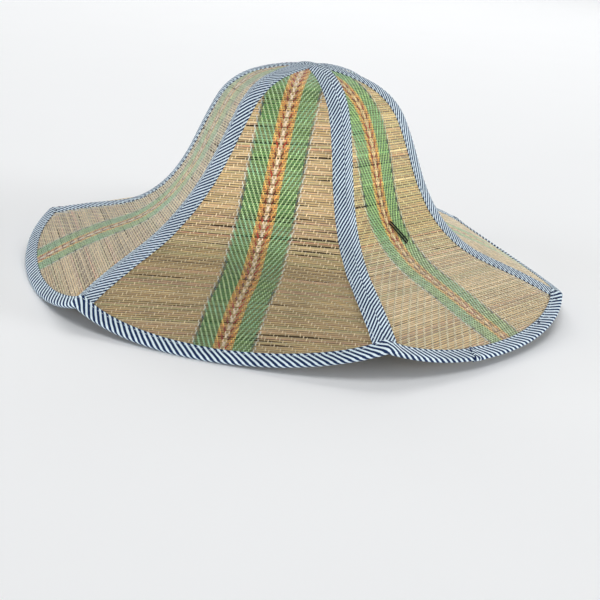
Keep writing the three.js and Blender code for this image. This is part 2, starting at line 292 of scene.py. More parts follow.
# The haze of fine fibres at grazing angles
FIBRE_SHEEN = {"Sheen Weight": 0.8, "Sheen Roughness": 0.4, "Sheen Tint": (0.75, 0.88, 1.0, 1.0)}
# How closely a thread is twisted, in radians for each metre
TWIST = 9000.0


def rgba(colour):
    """A colour with its alpha, from a grey, three channels or four."""
    if isinstance(colour, float):
        colour = (colour,) * 3
    return (*colour, 1.0)[:4]


def scaled(colour, share):
    return tuple(share * channel for channel in colour)


class Nodes:
    """Short calls for the nodes of one material."""

    def __init__(self, name):
        self.material = bpy.data.materials.new(name)
        self.material.use_nodes = True
        self.tree = self.material.node_tree
        self.tree.nodes.clear()
        self.shader = self.node("ShaderNodeBsdfPrincipled")
        self.node("ShaderNodeOutputMaterial", inputs={"Surface": self.shader.outputs["BSDF"]})

    def fill(self, node, inputs):
        for key, value in inputs.items():
            if isinstance(value, bpy.types.NodeSocket):
                self.tree.links.new(value, node.inputs[key])
            else:
                node.inputs[key].default_value = value

    def node(self, kind, settings=None, inputs=None):
        made = self.tree.nodes.new(kind)
        for key, value in (settings or {}).items():
            setattr(made, key, value)
        self.fill(made, inputs or {})
        return made

    def maths(self, operation, a, b=0.0):
        return self.node("ShaderNodeMath", {"operation": operation}, {0: a, 1: b}).outputs[0]

    def mix(self, share, a, b, blend="MIX"):
        a, b = (dye if isinstance(dye, bpy.types.NodeSocket) else rgba(dye) for dye in (a, b))
        made = self.node("ShaderNodeMix", {"data_type": "RGBA", "blend_type": blend}, {0: share, 6: a, 7: b})
        return made.outputs[2]

    def ramp(self, value, stops, interpolation="LINEAR"):
        made = self.node("ShaderNodeValToRGB", inputs={"Fac": value})
        elements = made.color_ramp.elements
        made.color_ramp.interpolation = interpolation
        while len(elements) < len(stops):
            elements.new(0.5)
        for element, (place, colour) in zip(elements, stops):
            element.position = place
            element.color = rgba(colour)
        return made.outputs["Color"]

    def shade(self, colour, value, *stops):
        """The colour made darker and lighter by a value: each stop is its place and a factor."""
        return self.mix(1.0, colour, self.ramp(value, stops), "MULTIPLY")

    def noise(self, place, scales, detail=2.0):
        made = self.node("ShaderNodeTexNoise", inputs={"Vector": self.stretched(place, scales)})
        self.fill(made, {"Scale": 1.0, "Detail": detail})
        return made.outputs["Fac"]

    def stretched(self, place, scales):
        made = self.node("ShaderNodeVectorMath", {"operation": "MULTIPLY"}, {0: place, 1: (*scales, 1.0)})
        return made.outputs[0]

    def range(self, value, low, high, to_low, to_high):
        limits = {"From Min": low, "From Max": high, "To Min": to_low, "To Max": to_high}
        return self.node("ShaderNodeMapRange", inputs={"Value": value, **limits}).outputs[0]

    def map(self, name):
        return self.node("ShaderNodeUVMap", {"uv_map": name}).outputs[0]

    def split(self, vector):
        made = self.node("ShaderNodeSeparateXYZ", inputs={0: vector})
        return made.outputs[0], made.outputs[1]

    def tone(self):
        """The tone of each straw or thread with its painted light and shade, and how much of its dye is left
        under the painted haze.
        """
        made = self.node("ShaderNodeVertexColor", {"layer_name": "Tone"})
        return made.outputs["Color"], made.outputs["Alpha"]

    def bump(self, height, distance, strength):
        values = {"Height": height, "Distance": distance, "Strength": strength}
        self.fill(self.shader, {"Normal": self.node("ShaderNodeBump", inputs=values).outputs[0]})

    def twisted(self, place, slant, deep):
        """Fine ridges of a twisted thread."""
        u, v = self.split(place)
        run = self.maths("ADD", u, self.maths("MULTIPLY", v, slant))
        self.bump(self.maths("SINE", self.maths("MULTIPLY", run, TWIST)), deep, 0.7)

    def surface(self, colour, roughness, constants=None):
        self.fill(self.shader, {"Base Color": colour, "Roughness": roughness, **(constants or {})})
        return self.material


# The stripe's bands, outwards from its middle: how many warps each has on one side, what stains
# the straws under it, and what its threads change to in patches. Its name is its own dye.
BANDS = (
    {"name": "centre", "warps": 1, "under": "under_centre", "patch": "centre"},
    {"name": "beside", "warps": 1, "under": "under_centre", "patch": "centre"},
    {"name": "dash", "warps": 2, "under": "under_dash", "patch": "dash_red"},
    {"name": "dash_edge", "warps": 1, "under": "under_dash", "patch": "dash_red"},
    {"name": "orange", "warps": 1, "under": "under_orange", "patch": "orange"},
    {"name": "yellow", "warps": 2, "under": "under_orange", "patch": "yellow"},
    # The straws under the green warps are stained green and also painted darker, as the shade between the
    # threads
    {"name": "green", "warps": 15, "under": "under_green_shaded", "patch": "green_blue"},
    {"name": "dark", "warps": 2, "under": "under_dark", "patch": "green_blue"},
    {"name": "zigzag", "warps": 2, "under": "under_zigzag", "patch": "zigzag"},
)
STRIPE_WARPS = sum(band["warps"] for band in BANDS)
RAMP_REACH = 30.0 * MM
# The pale tone of a painted haze, standing for the sheen of grazing views, that the dyed threads are turned
# to
PAINTED_HAZE_TONE = (0.80, 0.74, 0.56)
# The green's stain on the painted shade of the gaps, for each channel
GREEN_IN_GAPS = (0.4, 1.6, 0.8)


def band_dyes(colours, column):
    return [getattr(colours, band[column]) for band in BANDS]


def stripe_bands(nodes, place, warp_pitch, dyes, beyond):
    """The dye of each band by the distance from the stripe's middle, and another colour beyond them."""
    u, _ = nodes.split(place)
    reach = nodes.maths("DIVIDE", nodes.maths("ABSOLUTE", u), RAMP_REACH)
    edges = np.cumsum([0] + [band["warps"] for band in BANDS]) * warp_pitch / RAMP_REACH
    return nodes.ramp(reach, list(zip(edges, [*dyes, beyond])), "CONSTANT")


def patches(nodes, place, low, high):
    """Long soft patches along a gore, where the dye took more or less."""
    return nodes.range(nodes.noise(place, (16.0, 36.0)), low, high, 0.0, 1.0)


def straw_material(sizes, colours):
    """Fibrous straw, stained by the dyes of the stripe above it."""
    nodes = Nodes("straw")
    place = nodes.map("Weave")
    stain = stripe_bands(nodes, place, sizes.warp_pitch, band_dyes(colours, "under"), CLEAR)
    stain = nodes.mix(patches(nodes, place, 0.42, 0.62), stain, nodes.mix(0.3, stain, CLEAR))
    tone, unhazed = nodes.tone()
    # Where the painted haze lies, the stain gives way to plain straw
    colour = nodes.mix(1.0, tone, nodes.mix(unhazed, CLEAR, stain), "MULTIPLY")
    fibres = nodes.noise(place, (70.0, 3200.0), 3.0)
    colour = nodes.shade(colour, fibres, (0.3, 0.74), (0.7, 1.16))
    blotch = nodes.noise(place, (38.0, 60.0), 3.0)
    colour = nodes.shade(colour, blotch, (0.3, (0.84, 0.84, 0.82)), (0.5, 1.0), (0.75, (1.12, 1.07, 1.0)))
    nodes.bump(fibres, 0.12 * MM, 0.8)
    return nodes.surface(colour, nodes.range(fibres, 0.3, 0.7, 0.42, 0.68), FIBRE_SHEEN)


def backing_material(sizes, colours):
    """A dark sheet of painted shade that shows in the gaps between straws, stained under the green warps."""
    nodes = Nodes("mat_gaps")
    place = nodes.map("Weave")
    stained = tuple(share * channel for share, channel in zip(GREEN_IN_GAPS, colours.gap))
    dyes = [stained if band["name"] == "green" else colours.gap for band in BANDS]
    colour = stripe_bands(nodes, place, sizes.warp_pitch, dyes, colours.gap)
    colour = nodes.shade(colour, nodes.noise(place, (200.0, 900.0)), (0.3, 0.7), (0.7, 1.2))
    return nodes.surface(colour, 0.9)


def warp_material(sizes, colours):
    """Threads by their band; along the gore the dye of each band goes from one colour to another."""
    nodes = Nodes("warp_thread")
    place = nodes.map("Weave")
    colour, other = (
        stripe_bands(nodes, place, sizes.warp_pitch, band_dyes(colours, column), colours.plain_warp)
        for column in ("name", "patch")
    )
    colour = nodes.mix(patches(nodes, place, 0.44, 0.58), colour, other)
    tone, unhazed = nodes.tone()
    # Where the painted haze lies, the dye gives way to its pale tone
    colour = nodes.mix(1.0, nodes.mix(unhazed, PAINTED_HAZE_TONE, colour), tone, "MULTIPLY")
    colour = nodes.shade(colour, nodes.noise(place, (500.0, 110.0), 3.0), (0.3, 0.7), (0.7, 1.22))
    nodes.twisted(place, 0.8, 0.05 * MM)
    return nodes.surface(colour, 0.82, FIBRE_SHEEN)


def cloth_material(name, pitch, lean, colours):
    """Woven tape with slanting stripes; its map has the way across the tape and the way along it."""
    nodes = Nodes(name)
    place = nodes.map("Tape")
    across, along = nodes.split(place)
    wander = nodes.range(nodes.noise(place, (160.0, 160.0)), 0.0, 1.0, -0.11, 0.11)
    slanted = nodes.maths("ADD", along, nodes.maths("MULTIPLY", across, lean))
    phase = nodes.maths("FRACT", nodes.maths("ADD", nodes.maths("DIVIDE", slanted, pitch), wander))
    navy, white = colours.navy, colours.white
    pale = scaled(white, 0.82)
    colour = nodes.ramp(
        phase, ((0.0, pale), (0.03, navy), (0.53, navy), (0.57, pale), (0.62, white), (0.95, white))
    )
    weave = nodes.node(
        "ShaderNodeTexWave",
        {"wave_type": "BANDS", "bands_direction": "DIAGONAL"},
        {"Vector": nodes.stretched(place, (2100.0, 2100.0)), "Scale": 0.5, "Distortion": 0.6},
    ).outputs["Fac"]
    colour = nodes.shade(colour, weave, (0.0, 0.86), (1.0, 1.04))
    grime = nodes.noise(place, (45.0, 30.0), 3.0)
    colour = nodes.shade(colour, grime, (0.35, (0.9, 0.9, 0.89)), (0.65, 1.02))
    nodes.bump(weave, 0.06 * MM, 0.6)
    return nodes.surface(colour, 0.9, {"Specular IOR Level": 0.25})


def stitch_material(name, colour):
    nodes = Nodes(name)
    place = nodes.map("Tape")
    worn = nodes.noise(place, (900.0, 300.0))
    nodes.twisted(place, 1.0, 0.04 * MM)
    return nodes.surface(nodes.ramp(worn, ((0.3, scaled(colour, 0.55)), (0.7, scaled(colour, 0.8)))), 0.75)


def elastic_material(colours):
    nodes = Nodes("black_elastic")
    fine = nodes.noise(nodes.map("Tape"), (4000.0, 900.0))
    colour = nodes.ramp(fine, ((0.3, colours.elastic), (0.75, scaled(colours.elastic, 2.4))))
    nodes.bump(fine, 0.04 * MM, 0.5)
    return nodes.surface(colour, nodes.range(fine, 0.3, 0.7, 0.35, 0.55), {"Specular IOR Level": 0.3})


def floor_material():
    nodes = Nodes("floor")
    place = nodes.node("ShaderNodeNewGeometry").outputs["Position"]
    cloudy = nodes.noise(place, (6.0, 6.0))
    colour = nodes.ramp(cloudy, ((0.0, (0.93, 0.94, 0.95)), (1.0, (0.95, 0.96, 0.97))))
    return nodes.surface(colour, 0.8)


# The woven mat. The tables by v are in millimetres down the gore; gores are counted from 0 at the
# front, and one that a table leaves out is plain there.

# Where the coloured stripe's middle lies off the mid-line, in millimetres
STRIPE_PATHS = {
    0: {
        "v": (0, 60, 100, 140, 165, 200, 228, 255, 310),
        "value": (-4, -2.8, -3.2, -2.4, -0.9, 0.4, 2.2, 1, 0.8),
    },
    1: {
        "v": (0, 60, 110, 165, 200, 235, 265, 290, 310),
        "value": (-11, -10.6, -7.7, -10, -7.8, -4.9, -1.6, 4.7, 8.5),
    },
    2: {"v": (0, 310), "value": (2, 3)},
    3: {"v": (0, 310), "value": (-2, 1)},
    4: {"v": (0, 310), "value": (1, -3)},
    5: {"v": (0, 60, 170, 200, 240, 310), "value": (-4, -8, -7, -6.5, -10, -11)},
}
STRIPE_WIDTHS = {1: {"v": (0, 150, 230, 310), "value": (0.97, 0.93, 0.87, 0.85)}}
# Painted light and shade on the straws and threads along each gore, how far a painted haze takes the dyes'
# place, and how much blue is kept
STRAW_PAINTED_LIGHT = {
    0: {"v": (0, 70, 125, 175, 225, 270, 310), "value": (1.16, 1.19, 1.30, 1.05, 0.71, 0.71, 0.74)},
    1: {"v": (0, 140, 200, 310), "value": (1.0, 1.0, 0.97, 0.97)},
    2: {"v": (0, 150, 200, 310), "value": (1.0, 1.0, 1.18, 1.22)},
    3: {"v": (0, 310), "value": (1.0, 0.95)},
    4: {"v": (0, 310), "value": (1.0, 0.95)},
    5: {"v": (0, 160, 310), "value": (0.85, 0.9, 0.85)},
}
THREAD_PAINTED_LIGHT = {
    0: {"v": (0, 75, 125, 175, 220, 265, 310), "value": (0.95, 1.0, 1.24, 1.12, 0.70, 0.74, 0.76)},
    1: {"v": (0, 310), "value": (1.03, 1.03)},
    5: {"v": (0, 160, 310), "value": (0.9, 0.92, 0.9)},
}
# Painted haze: how much of the dyes gives way to a pale tone, for the sheen that grazing views show
PAINTED_HAZE = {
    1: {"v": (0, 165, 200, 310), "value": (0, 0, 0.25, 0.32)},
    2: {"v": (0, 150, 200, 310), "value": (0.05, 0.1, 0.4, 0.5)},
    3: {"v": (0, 310), "value": (0.1, 0.1)},
    4: {"v": (0, 310), "value": (0.1, 0.1)},
    5: {"v": (0, 60, 130, 200, 310), "value": (0.45, 0.5, 0.45, 0.2, 0.1)},
}
BLUE_KEPT = {
    0: {"v": (0, 110, 190, 225, 260, 310), "value": (0.94, 1.0, 0.97, 0.88, 0.94, 0.97)},
    1: {"v": (0, 165, 200, 310), "value": (0.80, 0.80, 1.0, 1.0)},
}
# How each gore's threads, and the ones in the stripe's middle, differ in colour
THREAD_TINTS = {
    1: (0.94, 1.02, 1.05),
    3: (0.97, 1.0, 1.02),
    4: (1.02, 1.0, 0.98),
    5: (0.96, 1.0, 1.03),
}
CENTRE_TINTS = {0: (1.04, 0.98, 0.91), 1: (1.0, 0.84, 0.68)}
# How far the straws of each gore tilt against its level, in degrees
STRAW_TILTS = (6.5, 1.0, -1.2, 1.5, -0.8, 1.2)
# How many thin places the straws of each gore have, spread at random
THIN_PLACES = (45, 14, 25, 25, 25, 14)
# Wide gaps between straws, and pale straws that stand out: where they are and how long, in millimetres
WIDE_GAPS = (
    {"gore": 0, "v": 176, "u": 41, "long": 19, "thin": 0.75},
    {"gore": 0, "v": 182, "u": 41, "long": 19, "thin": 0.62},
    {"gore": 0, "v": 187, "u": 40, "long": 17, "thin": 0.72},
    {"gore": 0, "v": 192, "u": 34, "long": 11, "thin": 0.66},
    {"gore": 0, "v": 178, "u": -26, "long": 10, "thin": 0.7},
    {"gore": 0, "v": 277, "u": 44, "long": 24, "thin": 0.7},
    {"gore": 0, "v": 284, "u": 20, "long": 20, "thin": 0.6},
)
PALE_STRAWS = ({"gore": 1, "v": 109}, {"gore": 1, "v": 131})
PALE_STRAW_LIGHT = 1.2
STRAW_KINDS = (
    {"name": "straw", "chance": 0.37},
    {"name": "straw_green", "chance": 0.19},
    {"name": "straw_pink", "chance": 0.15},
    {"name": "straw_pale", "chance": 0.15},
    {"name": "straw_brown", "chance": 0.12},
    {"name": "straw_red", "chance": 0.02},
)

# A straw's section: six points across and up, as shares of its half width and half thickness, and each
# point's painted shade
STRAW_ACROSS = np.array([-1.0, -0.55, 0.55, 1.0, 0.55, -0.55])
STRAW_UP = np.array([0.0, 1.0, 1.0, 0.0, -1.0, -1.0])
STRAW_PAINTED_SHADE = np.array([0.55, 1.0, 1.0, 0.55, 0.9, 0.9])
STRAW_STATIONS = 13
# How far straws are off a straight line, off their level and off their even pitch
STRAW_WANDER = 0.14 * MM
STRAW_LEVELS = 0.06 * MM
ROW_WANDER = 0.09 * MM
SHORTEST_STRAW = 3 * MM
# Each straw's width and lightness as shares, and how much they change along it
STRAW_WIDTHS = (0.92, 1.04)
STRAW_LIGHTS = (0.9, 1.1)
WIDTH_CHANGE = 0.05
LIGHT_CHANGE = 0.07
# How far a straw's colour goes from plain straw to that of its kind
KIND_SHARES = (0.15, 0.8)
# A thin place: its reach in millimetres, how much thinner it is, and how far it parts two straws
THIN_REACHES = (5, 26)
THIN_SHARES = (0.15, 0.6)
THIN_APART = 0.3
# How much a straw's height and a warp's width count on the map
STRAW_ON_MAP = 0.2
WARP_ON_MAP = 0.4
# Half the width of the widest gore, and a little more
WIDEST_HALF = 110 * MM
HALF_REACH = 112 * MM
MAT_TOP = 4 * MM
MAT_SIDE_INSET = 1.8 * MM
MAT_BRIM_INSET = 1.5 * MM
BACKING_ROWS = 60
BACKING_COLUMNS = 9
BACKING_HALF = 0.1 * MM
# Under 1, so that the rows get closer towards the brim
BACKING_CLOSER = 0.9
# Each gore has its own stretch of the map, so that no two are stained alike
MAP_STEP = 0.7


def by_v(table, gore, v, plain=1.0):
    """What a table says for a gore at v."""
    if gore not in table:
        return np.full(np.shape(v), plain)
    return read_table(table[gore]["v"], table[gore]["value"], np.asarray(v) / MM)


def stripe_middle(gore, v):
    return by_v(STRIPE_PATHS, gore, v) * MM


def on_map(gore, u, v, more_u=0.0, more_v=0.0):
    """A place of a gore on the weave's map, whose u starts at the stripe's middle."""
    off = (u - stripe_middle(gore, v)) / by_v(STRIPE_WIDTHS, gore, v)
    return np.stack(np.broadcast_arrays(off + more_u, v + more_v + gore * MAP_STEP), -1)


def straw_ends(gore, rows, tilt):
    """Where each straw starts and ends across its gore, and which rows have one at all."""
    u = np.arange(-HALF_REACH, HALF_REACH + 0.1 * MM, 0.5 * MM)
    v = rows[:, None] - math.tan(tilt) * u
    half = half_width(gore, np.clip(v, MM, None))
    inside = (
        (half - np.abs(u) > MAT_SIDE_INSET)
        & (v < above_brim(gore, u / half, MAT_BRIM_INSET))
        & (v > MAT_TOP)
    )
    first = np.argmax(inside, 1)
    last = inside.shape[1] - 1 - np.argmax(inside[:, ::-1], 1)
    there = inside.any(1) & (u[last] - u[first] > SHORTEST_STRAW)
    return u[first], u[last], there


def straw_tones(source, colours, count):
    """A colour for each straw: mostly tan, some greener, pinker, paler or browner."""
    kinds = np.array([tuple(getattr(colours, kind["name"])) for kind in STRAW_KINDS])
    tones = kinds[source.choice(len(kinds), count, p=[kind["chance"] for kind in STRAW_KINDS])]
    tan = kinds[0]
    tones = tan + (tones - tan) * source.uniform(*KIND_SHARES, (count, 1))
    return tones * source.uniform(*STRAW_LIGHTS, (count, 1))


def thin_places(gore, rows, low, high, tilt, source):
    """Where straws get thinner: the row, the u of the middle, how far it reaches and how much."""
    places = []
    for row in source.integers(4, len(rows) - 1, THIN_PLACES[gore]):
        middle = source.uniform(low[row], high[row])
        places.append((row, middle, source.uniform(*THIN_REACHES) * MM, source.uniform(*THIN_SHARES)))
    for gap in WIDE_GAPS:
        if gap["gore"] == gore:
            row = np.argmin(np.abs(rows - (gap["v"] + math.tan(tilt) * gap["u"]) * MM))
            places.append((row, gap["u"] * MM, gap["long"] * MM, gap["thin"]))
    return places


def add_straws(parts, gore, rows, tilt, sizes, colours, source):
    """The straws of a gore, uneven in width and tone, each from one long edge to the other."""
    low, high, there = straw_ends(gore, rows, tilt)
    rows, low, high = rows[there], low[there], high[there]
    count = len(rows)
    share = np.linspace(0, 1, STRAW_STATIONS)
    u = low[:, None] * (1 - share) + high[:, None] * share
    v = rows[:, None] - math.tan(tilt) * u + STRAW_WANDER * smooth_noise(source, u.shape, 5)
    width = source.uniform(*STRAW_WIDTHS, (count, 1))
    width = width * (1 + WIDTH_CHANGE * smooth_noise(source, u.shape, 6))
    for row, middle, reach, most in thin_places(gore, rows, low, high, tilt, source):
        thin = most * np.exp(-(((u[row] - middle) / reach) ** 4))
        width[row] *= 1 - thin
        v[row] -= THIN_APART * thin * sizes.straw_pitch
        v[row + 1] += THIN_APART * thin * sizes.straw_pitch
    level = STRAW_LEVELS * source.uniform(-1, 1, (count, 1, 1))
    half = (width * sizes.straw_pitch / 2)[..., None]
    points = mat_point(
        gore,
        np.repeat(u[..., None], 6, -1),
        v[..., None] + half * STRAW_ACROSS,
        level + sizes.straw_thick / 2 * np.broadcast_to(STRAW_UP, (count, STRAW_STATIONS, 6)),
    )
    # Painted light and shade along the gore, times each straw's own tone that changes along it
    light = by_v(STRAW_PAINTED_LIGHT, gore, v) * (1 + LIGHT_CHANGE * smooth_noise(source, u.shape, 7))
    tones = straw_tones(source, colours, count)
    for pale in PALE_STRAWS:
        if pale["gore"] == gore:
            row = np.argmin(np.abs(rows - pale["v"] * MM))
            tones[row] = scaled(colours.straw_pale, PALE_STRAW_LIGHT)
    tones = tones[:, None] * light[..., None]
    tones[..., 2] *= by_v(BLUE_KEPT, gore, v)
    # Painted shade: darker at the straws' edges, where they meet the gaps, and underneath
    tones = tones[:, :, None] * STRAW_PAINTED_SHADE[:, None]
    section = half * (STRAW_ACROSS + STRAW_ON_MAP * STRAW_UP)
    places = on_map(gore, u[..., None], v[..., None], 0.0, section)
    # How much of the dye is left under the painted haze
    unhazed = np.repeat(1 - by_v(PAINTED_HAZE, gore, v, 0.0).ravel(), 6)
    parts.add(at_rest(points), rod_faces(count, STRAW_STATIONS), places, 0, tones, unhazed)


def add_backing(parts, gore):
    """A sheet in the middle of the mat, painted dark as the shade that shows between the straws."""
    share = (np.linspace(0, 1, BACKING_ROWS) ** BACKING_CLOSER)[:, None]
    step = np.linspace(-1, 1, BACKING_COLUMNS)[None]

    def rows_at(across):
        return MAT_TOP + (above_brim(gore, across, MAT_BRIM_INSET) - MAT_TOP) * share

    across = step * (1 - MAT_SIDE_INSET / half_width(gore, rows_at(step)))
    v = rows_at(across)
    u = across * half_width(gore, v)
    skins = [mat_point(gore, u, v, np.full(u.shape, skin * BACKING_HALF)) for skin in (1, -1)]
    one = grid_faces(1, BACKING_ROWS, BACKING_COLUMNS, False)
    count = BACKING_ROWS * BACKING_COLUMNS
    grid = np.arange(count).reshape(BACKING_ROWS, BACKING_COLUMNS)
    loop = np.concatenate([grid[0], grid[1:, -1], grid[-1, -2::-1], grid[-2:0:-1, 0]])
    after = np.roll(loop, -1)
    rim = np.stack([loop, loop + count, after + count, after], -1)
    faces = np.concatenate([one, one[:, ::-1] + count, rim])
    places = on_map(gore, u, v)
    parts.add(at_rest(np.stack(skins)), faces, np.stack([places, places]), 1)


# A warp where it shows: shares of its length, height and width from its start to its end, its painted shade,
# darker at its ends where it dives into the mat, and the points of its section. Inside the hat it is
# plainer.
THREAD_OUT = {
    "along": np.array([-1.0, -0.72, 0.72, 1.0]),
    "up": np.array([0.10, 1.0, 1.0, 0.10]),
    "wide": np.array([0.60, 1.0, 1.0, 0.60]),
    "shade": np.array([0.55, 1.0, 1.0, 0.55]),
    "section": np.array([-0.5, -0.26, 0.26, 0.5]),
    "round": np.array([-1.0, 0.0, 0.0, -1.0]),
}
THREAD_IN = {
    **THREAD_OUT,
    "along": np.array([-1.0, -0.68, 0.68, 1.0]),
    "section": np.array([-0.5, 0.0, 0.5]),
    "round": np.array([-1.0, 0.0, -1.0]),
}
# A warp is over two straws and under two, and each next warp is a step on
CYCLE = 4
# Numbers of the warps that show over three straws of four, and of the thick ones in the dashes
LONG_WARPS = (0, 25)
THICK_WARPS = (2, 3)
THICK_SHARE = 1.5
# How many warps on each side are the stripe's middle
CENTRE_WARPS = 2
# Outside the stripe one warp of so many is there
PLAIN_EVERY = 3
WARP_REACH = 125 * MM
# Half of a shown warp's length, in straw pitches, and what a long one has over it
DENSE_LONG = 0.84
PLAIN_LONG = 0.96
MORE_LONG = 0.5
DENSE_WIDE = 0.92
WARP_DEEP = 0.28 * MM
WARP_LEAN = 0.05
# Shares that each shown stretch has in width, length and height, and each warp and stretch in lightness
WARP_WIDTHS = (0.88, 1.08)
WARP_LENGTHS = (0.93, 1.06)
WARP_RISES = (0.9, 1.12)
WARP_LIGHTS = (0.88, 1.1)
STRETCH_LIGHTS = (0.9, 1.08)
# How far warps go on under the bindings
UNDER_SIDE = 0.2 * MM
UNDER_BRIM = 0.8 * MM


def warp_places(sizes):
    """Warps from the stripe's middle outwards: side by side in the stripe, then every third."""
    number = np.arange(int(WARP_REACH / sizes.warp_pitch) + 1)
    kept = (number < STRIPE_WARPS) | ((number - STRIPE_WARPS) % PLAIN_EVERY == 1)
    number = number[kept]
    place = (number + 0.5) * sizes.warp_pitch
    return np.concatenate([-place[::-1], place]), np.concatenate([number[::-1], number])


def shown_warps(gore, rows, tilt, skin, sizes, off, number):
    """Every place where a warp shows on one side of the mat, which warp it is and whether it is long."""
    row, warp = np.meshgrid(np.arange(len(rows) - 1), np.arange(len(off)), indexing="ij")
    first = 0 if skin > 0 else CYCLE // 2
    shown = (row + number[warp] + first) % CYCLE == 0
    row, warp = row[shown], warp[shown]
    drawn = np.isin(number[warp], LONG_WARPS) & (skin > 0)
    middle = (rows[row] + rows[np.minimum(row + 1 + drawn, len(rows) - 1)]) / 2
    v = middle
    for _ in range(2):
        u = off[warp] * by_v(STRIPE_WIDTHS, gore, v) + stripe_middle(gore, v)
        v = middle - math.tan(tilt) * u
    half = half_width(gore, np.clip(v, MM, None))
    kept = (
        (half - np.abs(u) > sizes.side_flap - UNDER_SIDE)
        & (v > 2 * MAT_TOP)
        & (v < above_brim(gore, u / half, sizes.brim_flap - UNDER_BRIM))
    )
    return u[kept], v[kept], warp[kept], drawn[kept]


def add_warps(parts, gore, rows, tilt, skin, sizes, source):
    """The warp threads of a gore where they show on one side of its mat."""
    off, number = warp_places(sizes)
    u, v, warp, drawn = shown_warps(gore, rows, tilt, skin, sizes, off, number)
    count = len(u)
    number = number[warp]
    dense = number < STRIPE_WARPS
    wide = np.where(dense, sizes.warp_pitch * DENSE_WIDE, sizes.plain_warp_width)
    thick = np.where(np.isin(number, THICK_WARPS), THICK_SHARE, 1.0)
    wide = wide * source.uniform(*WARP_WIDTHS, count) * thick
    long = sizes.straw_pitch * (np.where(dense, DENSE_LONG, PLAIN_LONG) + MORE_LONG * drawn)
    long = long * source.uniform(*WARP_LENGTHS, count)
    up = sizes.warp_rise * source.uniform(*WARP_RISES, count)
    lean = source.normal(0, WARP_LEAN, count)
    wide, long, up, lean = (values[:, None, None] for values in (wide, long, up, lean))

    shape = THREAD_OUT if skin > 0 else THREAD_IN
    stations, corners = len(shape["along"]), len(shape["section"])
    ends = shape["wide"][:, None]
    along = long * shape["along"][:, None] + np.zeros(corners)
    sideways = wide * ends * shape["section"] + lean * along
    level = up * shape["up"][:, None] + WARP_DEEP * shape["round"] * ends
    points = mat_point(gore, u[:, None, None] + sideways, v[:, None, None] + along, skin * level)
    places = on_map(gore, u, v)[:, None, None] + np.stack([WARP_ON_MAP * sideways, along], -1)

    light = source.uniform(*WARP_LIGHTS, len(off))[warp] * source.uniform(*STRETCH_LIGHTS, count)
    # Painted light and shade along the gore
    light = light * by_v(THREAD_PAINTED_LIGHT, gore, v)
    tones = light[:, None] * np.array(THREAD_TINTS.get(gore, CLEAR))
    tones[:, 2] *= by_v(BLUE_KEPT, gore, v)
    tones[number < CENTRE_WARPS] *= CENTRE_TINTS.get(gore, CLEAR)
    # Painted shade: each warp darker at its ends, where it dives under the straws
    tones = tones[:, None, None] * shape["shade"][:, None, None] * np.ones((corners, 1))
    # How much of the dye is left under the painted haze
    unhazed = np.repeat(1 - by_v(PAINTED_HAZE, gore, v, 0.0), stations * corners)
    faces = grid_faces(count, stations, corners, False)
    if skin < 0:
        faces = faces[:, ::-1]
    parts.add(at_rest(points), faces, places, 2, tones, unhazed)


# The bindings: how far in from the edge and how high each point of the folded tape's outer face
# lies, in millimetres

SIDE_FACE = (
    {"in": 8.50, "up": 0.62},
    {"in": 8.35, "up": 0.98},
    {"in": 7.70, "up": 1.22},
    {"in": 6.90, "up": 1.14},
    {"in": 6.50, "up": 1.02},
    {"in": 6.10, "up": 1.16},
    {"in": 5.00, "up": 1.42},
    {"in": 3.20, "up": 1.62},
    {"in": 1.50, "up": 1.70},
    {"in": 0.60, "up": 1.64},
)
SIDE_MITRE = (1.46, 0.5, -0.5, -1.46)
BRIM_FACE = (
    {"in": 10.00, "up": 0.66},
    {"in": 9.85, "up": 1.04},
    {"in": 9.20, "up": 1.30},
    {"in": 8.40, "up": 1.18},
    {"in": 8.00, "up": 1.04},
    {"in": 7.60, "up": 1.20},
    {"in": 6.00, "up": 1.50},
    {"in": 4.00, "up": 1.74},
    {"in": 2.00, "up": 1.88},
    {"in": 0.80, "up": 1.72},
    {"in": 0.25, "up": 1.20},
)
BRIM_FOLD = (0.6, 0.0, -0.6)
# The hidden face: how high it lies, and how much less it reaches in than the outer one
LINING = 0.52
LINING_SHORT = 0.15
SIDE_STATIONS = 150
BRIM_STATIONS = 60
# How the stripes slant: along the tape for each length across it
SIDE_LEAN = -1.42
BRIM_LEAN = -1.15
# Side tapes start below the crown's point and end under the brim's tape, where their stations get
# closer
SIDE_START = 0.4 * MM
SIDE_OVERLAP = 1.6 * MM
SIDE_CLOSER = 0.97
# How far a side tape stays from the gore's mid-line, and its fold from the middle of the seam
SEAM_ROOM = 0.1 * MM
MITRE_ROOM = 0.06 * MM
# How thick a side tape still is where the gore narrows to nothing
THINNEST = 0.45
# How wide a stitch is, and how far along it may be off its even place
STITCH_WIDE = 0.34 * MM
STITCH_WANDER = 0.25 * MM
# Each row of stitches: how far in from the edge and how high it lies, a stitch's share of the pitch,
# where the row starts and how far short of the tape's end it stops
SIDE_STITCHES = {"in": 6.5 * MM, "up": 1.0 * MM, "long": 0.76, "start": 14 * MM, "short": 3 * MM}
BRIM_STITCHES = {"in": 8.0 * MM, "up": 1.03 * MM, "long": 0.78, "start": 0.5 * MM, "short": 3 * MM}
SIDE_ROW_WANDER = 0.12 * MM
# Over the side tapes the brim's tape is raised, less and less from the seam; at its own edge it
# isn't, and it is fully so from some millimetres in
SEAM_RAISE = 0.95 * MM
RAISE_REACH = 8.5 * MM
RAISED_FROM = 3.0
# How unevenly wide and thick the tapes are, as shares, and how many waves that has
SIDE_WANDER = {"share": 0.02, "waves": 40}
SIDE_PUFF = {"share": 0.05, "waves": 60}
BRIM_WANDER = {"share": 0.015, "waves": 90}


